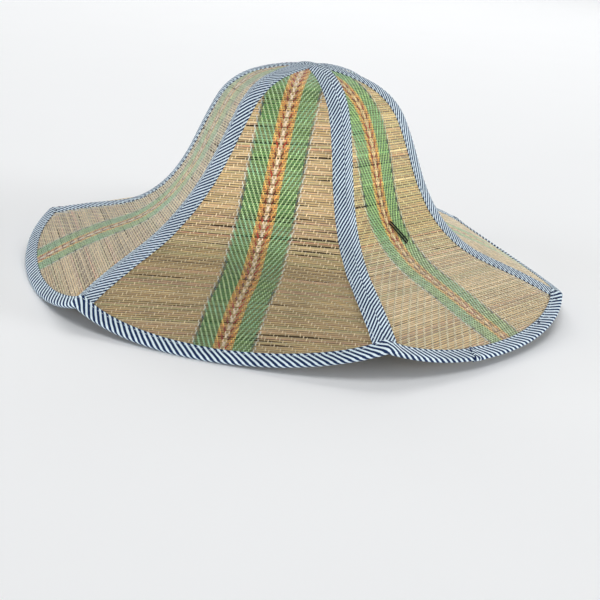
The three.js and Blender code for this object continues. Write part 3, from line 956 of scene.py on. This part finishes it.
def stitches(parts, start, end, up):
    """Short threads, each from a start to an end, round on top."""
    count = len(start)
    way = end - start
    stations = np.array([0.0, 0.2, 0.8, 1.0])
    height = np.array([-0.1, 0.28, 0.28, -0.1]) * MM
    sideways = STITCH_WIDE * np.array([-0.5, -0.25, 0.25, 0.5])
    crown = np.array([-0.2, 0.0, 0.0, -0.2]) * MM
    points = (
        start[:, None, None]
        + way[:, None, None] * stations[:, None, None]
        + up[:, None, None] * (height[:, None] + crown)[..., None]
        + unit(np.cross(way, up))[:, None, None] * sideways[:, None]
    )
    along = np.linalg.norm(way, axis=-1)[:, None] * stations + np.arange(count)[:, None] * 3 * MM
    places = np.stack(np.broadcast_arrays(sideways, along[..., None]), -1)
    parts.add(points, grid_faces(count, 4, 4, False), places, 1)


def sew(parts, row, whole, sizes, source, end_at, up_at):
    """A row of stitches along a whole tape, given where their ends lie and which way is up there."""
    start = np.arange(row["start"], whole - row["short"], sizes.stitch_pitch)
    start = start + STITCH_WANDER * source.uniform(-1, 1, start.shape)
    ends = [at_rest(end_at(at)) for at in (start, start + row["long"] * sizes.stitch_pitch)]
    stitches(parts, *ends, up_at(start))


def lining_spots(face):
    """Way in and skin of each point of the tape's hidden face, from the inside to the outside."""
    deep = face[0]["in"] - LINING_SHORT
    return (deep, -1), (1.0, -1), (1.0, 1), (deep, 1)


def side_point(gore, side, v, inset, level):
    across, lower, _ = from_seam(gore, side, v, inset)
    return gore_point(gore, across, lower) + gore_normal(gore, across, lower) * np.asarray(level)[..., None]


def mitre_point(gore, side, v, level):
    """A point on the plane halfway between two gores, and how far it is beyond the gore's own edge."""
    edge = -1 if side == "left" else 1
    seam = gore if side == "left" else gore + 1
    normal = gore_normal(gore, np.full(v.shape, float(edge)), v)
    other = gore_normal(gore + edge, np.full(v.shape, float(-edge)), v)
    halfway = unit(normal + other)
    inward = -edge * unit(np.cross(normal, seam_way(seam, v)))
    tall = level / np.sum(halfway * normal, -1)
    beyond = -tall * np.sum(halfway * inward, -1)
    return seam_point(seam, v) + halfway * tall[..., None] + inward * MITRE_ROOM, beyond / MM


def side_fit(gore, side, v, sizes):
    """The share of its width that a side tape has at v, less where the gore is too narrow for it."""
    _, _, straight = from_seam(gore, side, v, 0.0)
    return np.minimum(1, (half_width(gore, v) - SEAM_ROOM) / straight / sizes.side_flap)


def side_fold(gore, side, v, fit, source):
    """Points round the folded tape at each v, and where each is across the flat tape, in millimetres."""
    wander = 1 + SIDE_WANDER["share"] * smooth_noise(source, v.shape, SIDE_WANDER["waves"])
    puff = 1 + SIDE_PUFF["share"] * smooth_noise(source, v.shape, SIDE_PUFF["waves"])
    thick = (THINNEST + (1 - THINNEST) * fit) * MM
    rows, tape = [], []
    for skin, face in ((1, SIDE_FACE), (-1, SIDE_FACE[::-1])):
        for spot in face:
            inset = spot["in"] * MM * fit * wander
            rows.append(side_point(gore, side, v, inset, skin * spot["up"] * puff * thick))
            tape.append(-spot["in"] if skin > 0 else spot["in"] + 2 * SIDE_MITRE[0])
        if skin > 0:
            for level in SIDE_MITRE:
                point, beyond = mitre_point(gore, side, v, level * thick)
                rows.append(point)
                tape.append(SIDE_MITRE[0] - level + beyond)
    for inset, skin in lining_spots(SIDE_FACE):
        rows.append(side_point(gore, side, v, inset * MM * fit * wander, skin * LINING * thick))
        tape.append(-skin * SIDE_FACE[0]["in"])
    return np.stack(rows, 1), np.stack([np.broadcast_to(place, v.shape) for place in tape], 1)


def side_binding(gore, side, sizes, materials, source):
    """Tape folded over one long edge of a gore, with its row of stitches on each face."""
    parts = Parts()
    bottom = SEAM_LENGTH - sizes.brim_flap + SIDE_OVERLAP
    v = SIDE_START + (bottom - SIDE_START) * np.linspace(0, 1, SIDE_STATIONS) ** SIDE_CLOSER
    fit = side_fit(gore, side, v, sizes)
    points, tape = side_fold(gore, side, v, fit, source)
    drift = sizes.side_pitch * (source.uniform(0, 1) + 0.9 * smooth_noise(source, v.shape, 6))
    hand = 1 if side == "left" else -1
    places = np.stack(np.broadcast_arrays(hand * tape * MM * fit[:, None], (v + drift)[:, None]), -1)
    faces = grid_faces(1, SIDE_STATIONS, points.shape[1], True)
    if side == "left":
        faces = faces[:, ::-1]
    parts.add(at_rest(points), faces, places)
    row = SIDE_STITCHES
    for skin in (1, -1):

        def end_at(at):
            wander = SIDE_ROW_WANDER * source.uniform(-1, 1, at.shape)
            inset = row["in"] * side_fit(gore, side, at, sizes) + wander
            return side_point(gore, side, at, inset, np.full(at.shape, skin * row["up"]))

        def up_at(at):
            across, lower, _ = from_seam(gore, side, at, row["in"])
            return skin * gore_normal(gore, across, lower) @ LEAN.T

        sew(parts, row, bottom, sizes, source, end_at, up_at)
    return parts.make(f"side_tape_{gore + 1}_{side}", materials, "Tape")


# Where the brim's tape starts, on the right front gore, its cut end lies on top: where that is, how
# much further round at the inner edge, how long the upper layer is, how it swells and is sunk
LAP = {"gore": 1, "across": -0.3305, "slant": 0.0016, "long": 14 * MM, "swell": 0.42, "sunk": -0.12}
LAP_STATIONS = 14
# This far on, under the upper layer, the stripes shift by a share of their pitch
LAP_HIDDEN = 5 * MM
LAP_SHIFT = 0.45
# Where in a stripe the cut edge is, so that it is dark, and how far the inner edge is frayed
LAP_DARK = 0.27
LAP_FRAYED = 0.35
# Further in than the first the layer is frayed, less far in than the second it swells outwards, and
# higher than the third it swells upwards, in millimetres
FRAYED_FROM = 9
FOLD_WITHIN = 0.5
FACE_FROM = 0.3
# Knots where stitches were tied off on that gore, in millimetres, the navy ones (slot 2) also dark spots of
# painted shade where the tape's edge lies lifted, and the loose threads of a tuft
KNOTS = (
    {"across": 0.463, "in": 7.8, "reach": 0.95, "slot": 2},
    {"across": 0.590, "in": 3.9, "reach": 0.75, "slot": 1},
    {"across": 0.898, "in": 5.4, "reach": 0.85, "slot": 2},
)
KNOT_UP = 1.75
KNOT_POINTS = 48
KNOT_THREAD = 0.30 * MM
TUFT = (
    {"lean": -0.5, "long": 4.2, "tall": 1.6},
    {"lean": 0.1, "long": 3.4, "tall": 2.1},
    {"lean": 0.6, "long": 3.8, "tall": 1.2},
)
TUFT_UP = 1.6
TUFT_IN = 8 * MM
TUFT_POINTS = 14
TUFT_THREAD = 0.16 * MM
# A small step along the edge as a share of the gore's half width, for the way that it runs there
EDGE_STEP = 0.01


def edge_frames(gore, across):
    """Edge point, way inwards and way out of the mat along the lower edge of a gore."""
    v = brim_v(gore, across)
    normal = gore_normal(gore, across, v)
    steps = (across - EDGE_STEP, across + EDGE_STEP)
    before, after = (gore_point(gore, place, brim_v(gore, place)) for place in steps)
    return gore_point(gore, across, v), unit(np.cross(normal, after - before)), normal


def brim_frames(gore, across):
    """The same frames, with the first one shared by two gores at their corner."""
    point, inward, lift = edge_frames(gore, across)
    corner = np.array([SEAM_LENGTH])
    halfway = unit(lift[:1] + gore_normal(gore - 1, np.array([1.0]), corner))
    lift[:1] = halfway / np.sum(halfway * lift[:1], -1, keepdims=True)
    inward[:1] = -seam_way(gore, corner)
    return point, inward, lift


def brim_strip():
    """Frames along the whole lower edge, the way run along it, and how much it is raised over a seam."""
    across = np.arange(BRIM_STATIONS) / BRIM_STATIONS * 2 - 1
    frames = [brim_frames(gore, across) for gore in range(GORES)]
    point, inward, lift = (np.concatenate(rows) for rows in zip(*frames))
    run = np.concatenate([[0], np.cumsum(np.linalg.norm(np.diff(point, axis=0), axis=-1))])
    near = np.concatenate([(1 - np.abs(across)) * half_width(gore, SEAM_LENGTH) for gore in range(GORES)])
    raised = SEAM_RAISE * np.exp(-((near / RAISE_REACH) ** 4))
    return point, inward, lift, run, raised


def fold_spots():
    """Way in, height and way across the tape of each point of its outer face, round the fold."""
    edge = BRIM_FACE[-1]["up"]
    outside = [(spot["in"], spot["up"], -spot["in"]) for spot in BRIM_FACE]
    fold = [(-0.05, level, edge - level) for level in BRIM_FOLD]
    inside = [(spot["in"], -spot["up"], spot["in"] + 2 * edge) for spot in BRIM_FACE[::-1]]
    return outside + fold + inside


def lap_layer(share, swell, frayed, run_at, along_at, pitch):
    """One face of the upper layer: its points and their places on the map, by station and by spot."""
    reach = run_at(LAP["across"] + EDGE_STEP) - run_at(LAP["across"] - EDGE_STEP)
    reach = reach / (2 * EDGE_STEP)
    rows, places = [], []
    for inset, level, tape in fold_spots():
        across = LAP["across"] + LAP["slant"] * inset + share * LAP["long"] / reach
        point, inward, lift = edge_frames(LAP["gore"], across)
        deeper = inset + (frayed if inset > FRAYED_FROM else 0.0) - (swell if inset < FOLD_WITHIN else 0)
        higher = level + math.copysign(1, level) * swell * (abs(level) > FACE_FROM)
        rows.append(point + (inward * np.reshape(deeper, (-1, 1)) + lift * np.reshape(higher, (-1, 1))) * MM)
        along = along_at(run_at(across))
        stripe = np.floor((along[0] + tape * MM * BRIM_LEAN) / pitch)
        along[:2] = (stripe + LAP_DARK) * pitch - tape * MM * BRIM_LEAN
        places.append(np.stack([np.full(along.shape, tape * MM), along], -1))
    return np.stack(rows, 1), np.stack(places, 1)


def brim_lap(parts, run_at, along_at, pitch):
    """The cut end of the tape, on top of where it starts, with a dark edge."""
    share = np.concatenate([[0, 0.06], np.linspace(0.09, 1, LAP_STATIONS - 2)])
    swell = LAP["swell"] * (1 - share**1.5) + 0.03
    sunk = np.full(share.shape, LAP["sunk"])
    upper = lap_layer(share, swell, LAP_FRAYED, run_at, along_at, pitch)
    under = lap_layer(share, sunk, 0.0, run_at, along_at, pitch)
    points, places = (np.concatenate([a, b[:, ::-1]], 1) for a, b in zip(upper, under))
    stations, corners = points.shape[:2]
    outer = np.arange(corners // 2 - 1)
    start = np.stack([outer, outer + 1, corners - 2 - outer, corners - 1 - outer], -1)
    end = (start + (stations - 1) * corners)[:, ::-1]
    faces = np.concatenate([grid_faces(1, stations, corners, True)[:, ::-1], start, end])
    parts.add(at_rest(points), faces, places)


def trefoil(ways, reach, deep, count):
    """A closed path of a knot with three crossings, by the three ways that it is laid out in."""
    turn = np.linspace(0, 2 * math.pi, count, endpoint=False)[:, None]
    first = np.sin(turn) + 2 * np.sin(2 * turn)
    second = np.cos(turn) - 2 * np.cos(2 * turn)
    return reach * (ways[0] * first + ways[1] * second) + deep * ways[2] * np.sin(3 * turn)


def loose_threads(parts):
    """Knots where stitches were tied off, the navy ones partly painted shade, and a little tuft where the
    right seam meets the brim.
    """
    gore = LAP["gore"]
    for knot in KNOTS:
        point, inward, lift = (row[0] for row in edge_frames(gore, np.array([knot["across"]])))
        middle = point + (inward * knot["in"] + lift * KNOT_UP) * MM
        reach = knot["reach"] * MM / 3
        path = middle + trefoil((np.cross(inward, lift), inward, lift), reach, -reach, KNOT_POINTS)
        tube(parts, path, KNOT_THREAD, 8, True, knot["slot"])
    foot = seam_point(gore + 1, SEAM_LENGTH - TUFT_IN)
    away = seam_way(gore + 1, SEAM_LENGTH)
    up = gore_normal(gore, 1.0, SEAM_LENGTH)
    share = np.linspace(0, 1, TUFT_POINTS)[:, None]
    for thread in TUFT:
        rise = np.sin(share * math.pi * 0.8) * thread["tall"] + TUFT_UP
        aside = np.cross(up, away) * thread["lean"] * share**1.5
        path = foot + ((away * share + aside) * thread["long"] + up * rise) * MM
        tube(parts, path, TUFT_THREAD * (1 - 0.5 * share[:, 0]), 6, False, 1)


def brim_binding(sizes, materials, source):
    """Tape folded over the whole lower edge and over the ends of the side tapes."""
    parts = Parts()
    point, inward, lift, run, raised = brim_strip()
    stations = len(run)
    waves = source.uniform(-1, 1, BRIM_WANDER["waves"])
    uneven = np.interp(np.arange(stations), np.linspace(0, stations, len(waves)), waves)
    wander = 1 + BRIM_WANDER["share"] * uneven
    rows, tape = [], []
    for inset, level, across_tape in fold_spots():
        height = level * MM + math.copysign(1, level) * raised * min(1, max(0, inset) / RAISED_FROM)
        rows.append(point + inward * (inset * wander)[:, None] * MM + lift * height[:, None])
        tape.append(across_tape)
    for inset, skin in lining_spots(BRIM_FACE):
        height = skin * (LINING * MM + raised * (inset > RAISED_FROM))
        rows.append(point + inward * (inset * wander)[:, None] * MM + lift * height[:, None])
        tape.append(-skin * BRIM_FACE[0]["in"])
    points = np.stack(rows, 1)
    points = np.concatenate([points, points[:1]])
    whole = run[-1] + np.linalg.norm(point[0] - point[-1])
    length_run = np.append(run, whole)

    lap_across = np.arange(BRIM_STATIONS) / BRIM_STATIONS * 2 - 1
    lap_run = run[LAP["gore"] * BRIM_STATIONS :][:BRIM_STATIONS]

    def run_at(across):
        return np.interp(across, lap_across, lap_run)

    shift = LAP_SHIFT * sizes.brim_pitch
    scale = (round(whole / sizes.brim_pitch) * sizes.brim_pitch - shift) / whole
    hidden = run_at(LAP["across"]) + LAP_HIDDEN

    def along_at(place):
        return place * scale + shift * (place > hidden)

    places = np.stack(np.broadcast_arrays(np.array(tape) * MM, along_at(length_run)[:, None]), -1)
    faces = grid_faces(1, stations + 1, points.shape[1], True)[:, ::-1]
    parts.add(at_rest(points), faces, places)

    def at(values, place):
        closed = np.concatenate([values, values[:1]])
        if closed.ndim == 1:
            return np.interp(place, length_run, closed)
        return np.stack([np.interp(place, length_run, column) for column in closed.T], -1)

    row = BRIM_STITCHES
    for skin in (1, -1):

        def end_at(place):
            inset = row["in"] * at(wander, place)[:, None]
            level = skin * (row["up"] + at(raised, place))[:, None]
            return at(point, place) + at(inward, place) * inset + at(lift, place) * level

        def up_at(place):
            return skin * unit(at(lift, place)) @ LEAN.T

        sew(parts, row, whole, sizes, source, end_at, up_at)
    brim_lap(parts, run_at, along_at, sizes.brim_pitch)
    loose_threads(parts)
    return parts.make("brim_tape", materials, "Tape")


# The black elastic: each turn goes through the mat and back inside, where the ends are knotted

ELASTIC = {"gore": 1, "across": -3.0 * MM, "along": 172.7 * MM, "turned": 26.4, "stitch": 19.3 * MM}
ELASTIC_SPACING = 2.9 * MM
ELASTIC_THICK = 1.05 * MM
ELASTIC_OVER = 1.65 * MM
ELASTIC_UNDER = 1.7 * MM
ELASTIC_CORNER = 1.0 * MM
ELASTIC_STEP = 1.2 * MM
ELASTIC_SIDES = 12
CORNER_POINTS = 7
ELASTIC_KNOT = {"level": 2.9 * MM, "reach": 0.75 * MM, "deep": 0.75 * MM, "radius": 0.62 * MM}
ELASTIC_KNOT_POINTS = 72
ELASTIC_KNOT_SIDES = 10


def tube(parts, path, radius, sides, closed, slot=0):
    """A round tube along a path of points; one that isn't closed has six sides."""
    way = unit(np.roll(path, -1, 0) - np.roll(path, 1, 0) if closed else np.gradient(path, axis=0))
    side = [unit(np.cross(way[0], (0.3, 0.5, 0.8)))]
    for step in way[1:]:
        side.append(unit(side[-1] - step * np.dot(side[-1], step)))
    side = np.array(side)
    if closed:
        last = unit(side[-1] - way[0] * np.dot(side[-1], way[0]))
        twist = math.atan2(np.dot(last, np.cross(way[0], side[0])), np.dot(last, side[0]))
        turn = (-twist * np.arange(len(path)) / len(path))[:, None]
        side = side * np.cos(turn) + np.cross(way, side) * np.sin(turn)
    angle = np.linspace(0, 2 * math.pi, sides, endpoint=False)[:, None]
    ring = np.cos(angle) * side[:, None] + np.sin(angle) * np.cross(way, side)[:, None]
    rings = path[:, None] + np.broadcast_to(radius, (len(path),))[:, None, None] * ring
    run = np.concatenate([[0], np.cumsum(np.linalg.norm(np.diff(path, axis=0), axis=-1))])
    places = np.stack(np.broadcast_arrays(np.cos(angle[:, 0]) * MM, run[:, None]), -1)
    if closed:
        rings = np.concatenate([rings, rings[:1]])
        places = np.concatenate([places, places[:1]])
    faces = grid_faces(1, len(rings), sides, True) if closed else rod_faces(1, len(rings))
    parts.add(at_rest(rings), faces, places, slot)


def elastic_turn():
    """Way along and way out of each point of one turn: a long rounded rectangle through the mat."""
    half = ELASTIC["stitch"] / 2 - ELASTIC_CORNER
    over, under = ELASTIC_OVER - ELASTIC_CORNER, ELASTIC_CORNER - ELASTIC_UNDER
    corners = []
    for along, out, start in ((half, over, 0), (-half, over, 90), (-half, under, 180), (half, under, 270)):
        for angle in np.radians(start + np.linspace(0, 90, CORNER_POINTS)):
            arc = ELASTIC_CORNER * np.array([math.cos(angle), math.sin(angle)])
            corners.append(np.array([along, out]) + arc)
    path = []
    for first, second in zip(corners, corners[1:] + corners[:1]):
        pieces = max(1, int(np.linalg.norm(second - first) / ELASTIC_STEP))
        path += [first + (second - first) * step / pieces for step in range(pieces)]
    return np.array(path)


def elastic_loop(materials):
    """Two turns of elastic through the mat, and the knot that holds them inside."""
    gore, v = ELASTIC["gore"], ELASTIC["along"]
    across = ELASTIC["across"] / half_width(gore, v)
    centre = gore_point(gore, across, v)
    out = gore_normal(gore, across, v)
    turn = Matrix.Rotation(math.radians(ELASTIC["turned"]), 3, Vector(out))
    way = np.array(turn @ Vector(-np.cross(unit(gore_span(gore, v)), out)))
    lateral = np.cross(out, way)
    parts = Parts()
    loop = elastic_turn() @ np.stack([way, out])
    for place in (-0.5, 0.5):
        path = centre + loop + lateral * place * ELASTIC_SPACING
        tube(parts, path, ELASTIC_THICK / 2, ELASTIC_SIDES, True)
    knot = ELASTIC_KNOT
    path = trefoil((way, lateral, out), knot["reach"], knot["deep"], ELASTIC_KNOT_POINTS)
    tube(parts, centre - out * knot["level"] + path, knot["radius"], ELASTIC_KNOT_SIDES, True)
    return parts.make("elastic_stitch", materials, "Tape")


# What a user may change


def length(name, description, default):
    return bpy.props.FloatProperty(
        name=name, description=description, default=default, unit="LENGTH", precision=5
    )


def tint(name, description, default):
    return bpy.props.FloatVectorProperty(
        name=name, description=description, default=default, subtype="COLOR", size=3, min=0.0, max=1.0
    )


class HatSizes(bpy.types.PropertyGroup):
    """Sizes of the hat's weave and bindings."""

    straw_pitch: length("Straw pitch", "Distance from one straw to the next", 1.87 * MM)
    straw_thick: length("Straw thickness", "Height of a flattened straw", 0.94 * MM)
    warp_pitch: length("Warp pitch", "Distance between warps in the stripe", 0.823 * MM)
    plain_warp_width: length("Plain warp width", "Width of a warp outside the stripe", 0.66 * MM)
    warp_rise: length("Warp rise", "Height of a warp over the middle of the mat", 0.76 * MM)
    side_flap: length("Side binding width", "How far the side bindings reach onto a gore", 8.5 * MM)
    brim_flap: length("Brim binding width", "How far the brim binding reaches onto a gore", 10.0 * MM)
    side_pitch: length("Side stripe pitch", "Stripe repeat along a side binding", 3.6 * MM)
    brim_pitch: length("Brim stripe pitch", "Stripe repeat along the brim binding", 4.75 * MM)
    stitch_pitch: length("Stitch pitch", "Distance from one stitch to the next", 3.0 * MM)


class HatColours(bpy.types.PropertyGroup):
    """Colours of the straws, the threads and the cloth."""

    straw: tint("Straw", "Most of the straws", (0.651, 0.465, 0.222))
    straw_green: tint("Green straw", "Straws cut green", (0.558, 0.496, 0.24))
    straw_pink: tint("Pink straw", "Straws with a pink cast", (0.713, 0.434, 0.279))
    straw_pale: tint("Pale straw", "Bleached straws", (0.868, 0.666, 0.388))
    straw_brown: tint("Brown straw", "Weathered straws", (0.403, 0.264, 0.132))
    straw_red: tint("Red straw", "Straws that took up dye", (0.72, 0.37, 0.21))
    # The gaps' colour is painted shade
    gap: tint("Gaps", "Between the straws", (0.0543, 0.0341, 0.0155))
    # Partly a stain and partly painted shade between the green warps
    under_green_shaded: tint("Under green", "Stain of the straws under the green warps", (0.19, 0.58, 0.30))
    under_orange: tint("Under orange", "Stain of the straws under the orange warps", (1.0, 0.70, 0.32))
    under_dash: tint("Under dashes", "Stain of the straws under the dashes", (1.0, 0.78, 0.46))
    under_centre: tint("Under centre", "Stain of the straws under the middle warps", (1.0, 1.0, 0.95))
    under_dark: tint("Under dark", "Stain of the straws under the dark warps", (0.42, 0.54, 0.50))
    under_zigzag: tint("Under edge", "Stain of the straws under the edge warps", (0.90, 0.92, 0.96))
    plain_warp: tint("Plain warps", "Warps outside the stripe", (0.851, 0.694, 0.448))
    centre: tint("Middle warps", "Warps in the stripe's middle", (0.924, 0.798, 0.651))
    beside: tint("Warps beside the middle", "Warps beside the middle ones", (0.88, 0.66, 0.42))
    dash: tint("Dash warps", "Brown stretches of the dashes", (0.16, 0.036, 0.010))
    dash_red: tint("Red dash warps", "Red stretches of the dashes", (0.42, 0.05, 0.018))
    dash_edge: tint("Dash edge warps", "Warps at the edge of the dashes", (0.86, 0.36, 0.10))
    orange: tint("Orange warps", "Orange warps", (0.90, 0.46, 0.12))
    yellow: tint("Yellow warps", "Warps between orange and green", (0.90, 0.68, 0.20))
    green: tint("Green warps", "Green warps", (0.52, 0.68, 0.33))
    green_blue: tint("Blue-green warps", "Stretches of the green warps", (0.36, 0.64, 0.38))
    dark: tint("Dark warps", "Dark warps at the stripe's edge", (0.0508, 0.087, 0.0943))
    zigzag: tint("Edge warps", "Cream warps at the stripe's edge", (0.756, 0.735, 0.63))
    navy: tint("Navy", "Dark stripes of the cloth", (0.008, 0.028, 0.10))
    white: tint("White", "Pale stripes of the cloth", (0.78, 0.92, 1.0))
    elastic: tint("Elastic", "Black elastic", (0.004, 0.004, 0.005))


class HAT_OT_gores(bpy.types.Operator):
    """Weave the six gores: straws across, coloured warps along"""

    bl_idname = "hat.gores"
    bl_label = "Woven gores"

    def execute(self, context):
        sizes, colours = context.scene.hat_sizes, context.scene.hat_colours
        materials = [
            straw_material(sizes, colours),
            backing_material(sizes, colours),
            warp_material(sizes, colours),
        ]
        for gore in range(GORES):
            source = np.random.default_rng(41 + gore)
            tilt = math.radians(STRAW_TILTS[gore])
            rise = math.tan(abs(tilt)) * WIDEST_HALF
            rows = np.arange(MAT_TOP - rise, SEAM_LENGTH + BRIM_SAGS[gore] + rise, sizes.straw_pitch)
            rows = rows + ROW_WANDER * source.uniform(-1, 1, rows.shape)
            parts = Parts()
            add_straws(parts, gore, rows, tilt, sizes, colours, source)
            add_backing(parts, gore)
            for skin in (1, -1):
                add_warps(parts, gore, rows, tilt, skin, sizes, source)
            made = parts.make(f"woven_gore_{gore + 1}", materials, "Weave")
            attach(made, "root")
            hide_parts(f"mat_panel_{gore + 1}")
        return {"FINISHED"}


class HAT_OT_side_bindings(bpy.types.Operator):
    """Fold striped tape over the two long edges of every gore"""

    bl_idname = "hat.side_bindings"
    bl_label = "Side bindings"

    def execute(self, context):
        sizes, colours = context.scene.hat_sizes, context.scene.hat_colours
        materials = [
            cloth_material("side_cloth", sizes.side_pitch, SIDE_LEAN, colours),
            stitch_material("side_stitch", colours.white),
        ]
        for gore in range(GORES):
            for number, side in enumerate(("left", "right")):
                source = np.random.default_rng(301 + 2 * gore + number)
                made = side_binding(gore, side, sizes, materials, source)
                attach(made, "root")
                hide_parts(f"side_binding_{gore + 1}_{side}")
        return {"FINISHED"}


class HAT_OT_brim_binding(bpy.types.Operator):
    """Fold striped tape over the whole lower edge"""

    bl_idname = "hat.brim_binding"
    bl_label = "Brim binding"

    def execute(self, context):
        sizes, colours = context.scene.hat_sizes, context.scene.hat_colours
        materials = [
            cloth_material("brim_cloth", sizes.brim_pitch, BRIM_LEAN, colours),
            stitch_material("brim_stitch", colours.white),
            stitch_material("dark_stitch", colours.navy),
        ]
        made = brim_binding(sizes, materials, np.random.default_rng(77))
        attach(made, "root")
        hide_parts("brim_binding")
        return {"FINISHED"}


class HAT_OT_elastic(bpy.types.Operator):
    """Wind the short black elastic through the right front gore"""

    bl_idname = "hat.elastic"
    bl_label = "Elastic"

    def execute(self, context):
        made = elastic_loop([elastic_material(context.scene.hat_colours)])
        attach(made, "root")
        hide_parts("elastic_loop")
        return {"FINISHED"}


# The stage. The camera is given in the frame of the crown's point, as the hat is before it leans
CAMERA = {"place": (3.91 * MM, -910.62 * MM, 116.13 * MM), "lens": 70.26, "sensor": 36.0}
CAMERA_RIGHT = (0.99701, 0.02468, 0.07319)
CAMERA_UP = (-0.07724, 0.31850, 0.94477)
LAMPS = (
    {"name": "front", "from": (-1.90, -4.06, 0.47), "wide": 3.0, "tall": 0.9, "watts": 71.0},
    {"name": "right", "from": (4.38, -0.77, 0.78), "wide": 2.6, "tall": 1.4, "watts": 142.0},
    {"name": "left", "from": (-4.38, -0.77, 0.78), "wide": 2.6, "tall": 1.4, "watts": 73.0},
    {"name": "back", "from": (0.15, 3.50, 2.85), "wide": 4.4, "tall": 2.2, "watts": 105.0},
    {"name": "top", "from": (0.0, -0.78, 4.51), "wide": 2.6, "tall": 2.6, "watts": 65.0},
)
LAMPS_AIM = (0, 0, 0.08)
WORLD = {"colour": (0.97, 0.98, 1.0), "strength": 0.15}
FLOOR_HALF = 8.0


def add_floor(scene):
    mesh = bpy.data.meshes.new("floor")
    corners = [(x * FLOOR_HALF, y * FLOOR_HALF, 0) for x, y in ((-1, -1), (1, -1), (1, 1), (-1, 1))]
    mesh.from_pydata(corners, [], [(0, 1, 2, 3)])
    mesh.materials.append(floor_material())
    floor = bpy.data.objects.new("floor", mesh)
    scene.collection.objects.link(floor)


def add_lamps(scene):
    world = bpy.data.worlds.new("studio")
    world.use_nodes = True
    background = world.node_tree.nodes["Background"]
    background.inputs["Color"].default_value = rgba(WORLD["colour"])
    background.inputs["Strength"].default_value = WORLD["strength"]
    scene.world = world
    for row in LAMPS:
        data = bpy.data.lights.new(row["name"], "AREA")
        data.shape = "RECTANGLE"
        data.size = row["wide"]
        data.size_y = row["tall"]
        data.energy = row["watts"]
        lamp = bpy.data.objects.new(row["name"], data)
        lamp.location = row["from"]
        lamp.rotation_euler = (Vector(LAMPS_AIM) - Vector(row["from"])).to_track_quat("-Z", "Y").to_euler()
        scene.collection.objects.link(lamp)


def add_camera(scene):
    data = bpy.data.cameras.new("camera")
    data.lens = CAMERA["lens"]
    data.sensor_width = CAMERA["sensor"]
    data.clip_start = 0.01
    camera = bpy.data.objects.new("camera", data)
    right = LEAN @ np.array(CAMERA_RIGHT)
    up = LEAN @ np.array(CAMERA_UP)
    turn = Matrix(np.stack([right, up, np.cross(right, up)], -1).tolist()).to_4x4()
    place = LEAN @ np.array(CAMERA["place"]) + np.array(CROWN)
    camera.matrix_world = Matrix.Translation(Vector(place)) @ turn
    scene.collection.objects.link(camera)
    scene.camera = camera


class HAT_OT_stage(bpy.types.Operator):
    """Set the floor, the lamps and the camera"""

    bl_idname = "hat.stage"
    bl_label = "Stage"

    def execute(self, context):
        scene = context.scene
        add_floor(scene)
        add_lamps(scene)
        add_camera(scene)
        scene.view_settings.view_transform = "Standard"
        return {"FINISHED"}


class HAT_PT_panel(bpy.types.Panel):
    """Lists the hat's pieces with their sizes and colours"""

    bl_idname = "HAT_PT_panel"
    bl_label = "Straw hat"
    bl_space_type = "VIEW_3D"
    bl_region_type = "UI"
    bl_category = "Hat"

    def draw(self, context):
        for operator in OPERATORS:
            self.layout.operator(operator.bl_idname)
        for group in (context.scene.hat_sizes, context.scene.hat_colours):
            box = self.layout.box()
            for name in group.__annotations__:
                box.prop(group, name)


OPERATORS = (HAT_OT_gores, HAT_OT_side_bindings, HAT_OT_brim_binding, HAT_OT_elastic, HAT_OT_stage)
CLASSES = (HatSizes, HatColours, *OPERATORS, HAT_PT_panel)


def register():
    for cls in CLASSES:
        bpy.utils.register_class(cls)
    bpy.types.Scene.hat_sizes = bpy.props.PointerProperty(type=HatSizes)
    bpy.types.Scene.hat_colours = bpy.props.PointerProperty(type=HatColours)


def unregister():
    del bpy.types.Scene.hat_colours
    del bpy.types.Scene.hat_sizes
    for cls in reversed(CLASSES):
        bpy.utils.unregister_class(cls)


def main():
    register()
    bpy.ops.hat.gores()
    bpy.ops.hat.side_bindings()
    bpy.ops.hat.brim_binding()
    bpy.ops.hat.elastic()
    bpy.ops.hat.stage()


if __name__ == "__main__":
    main()
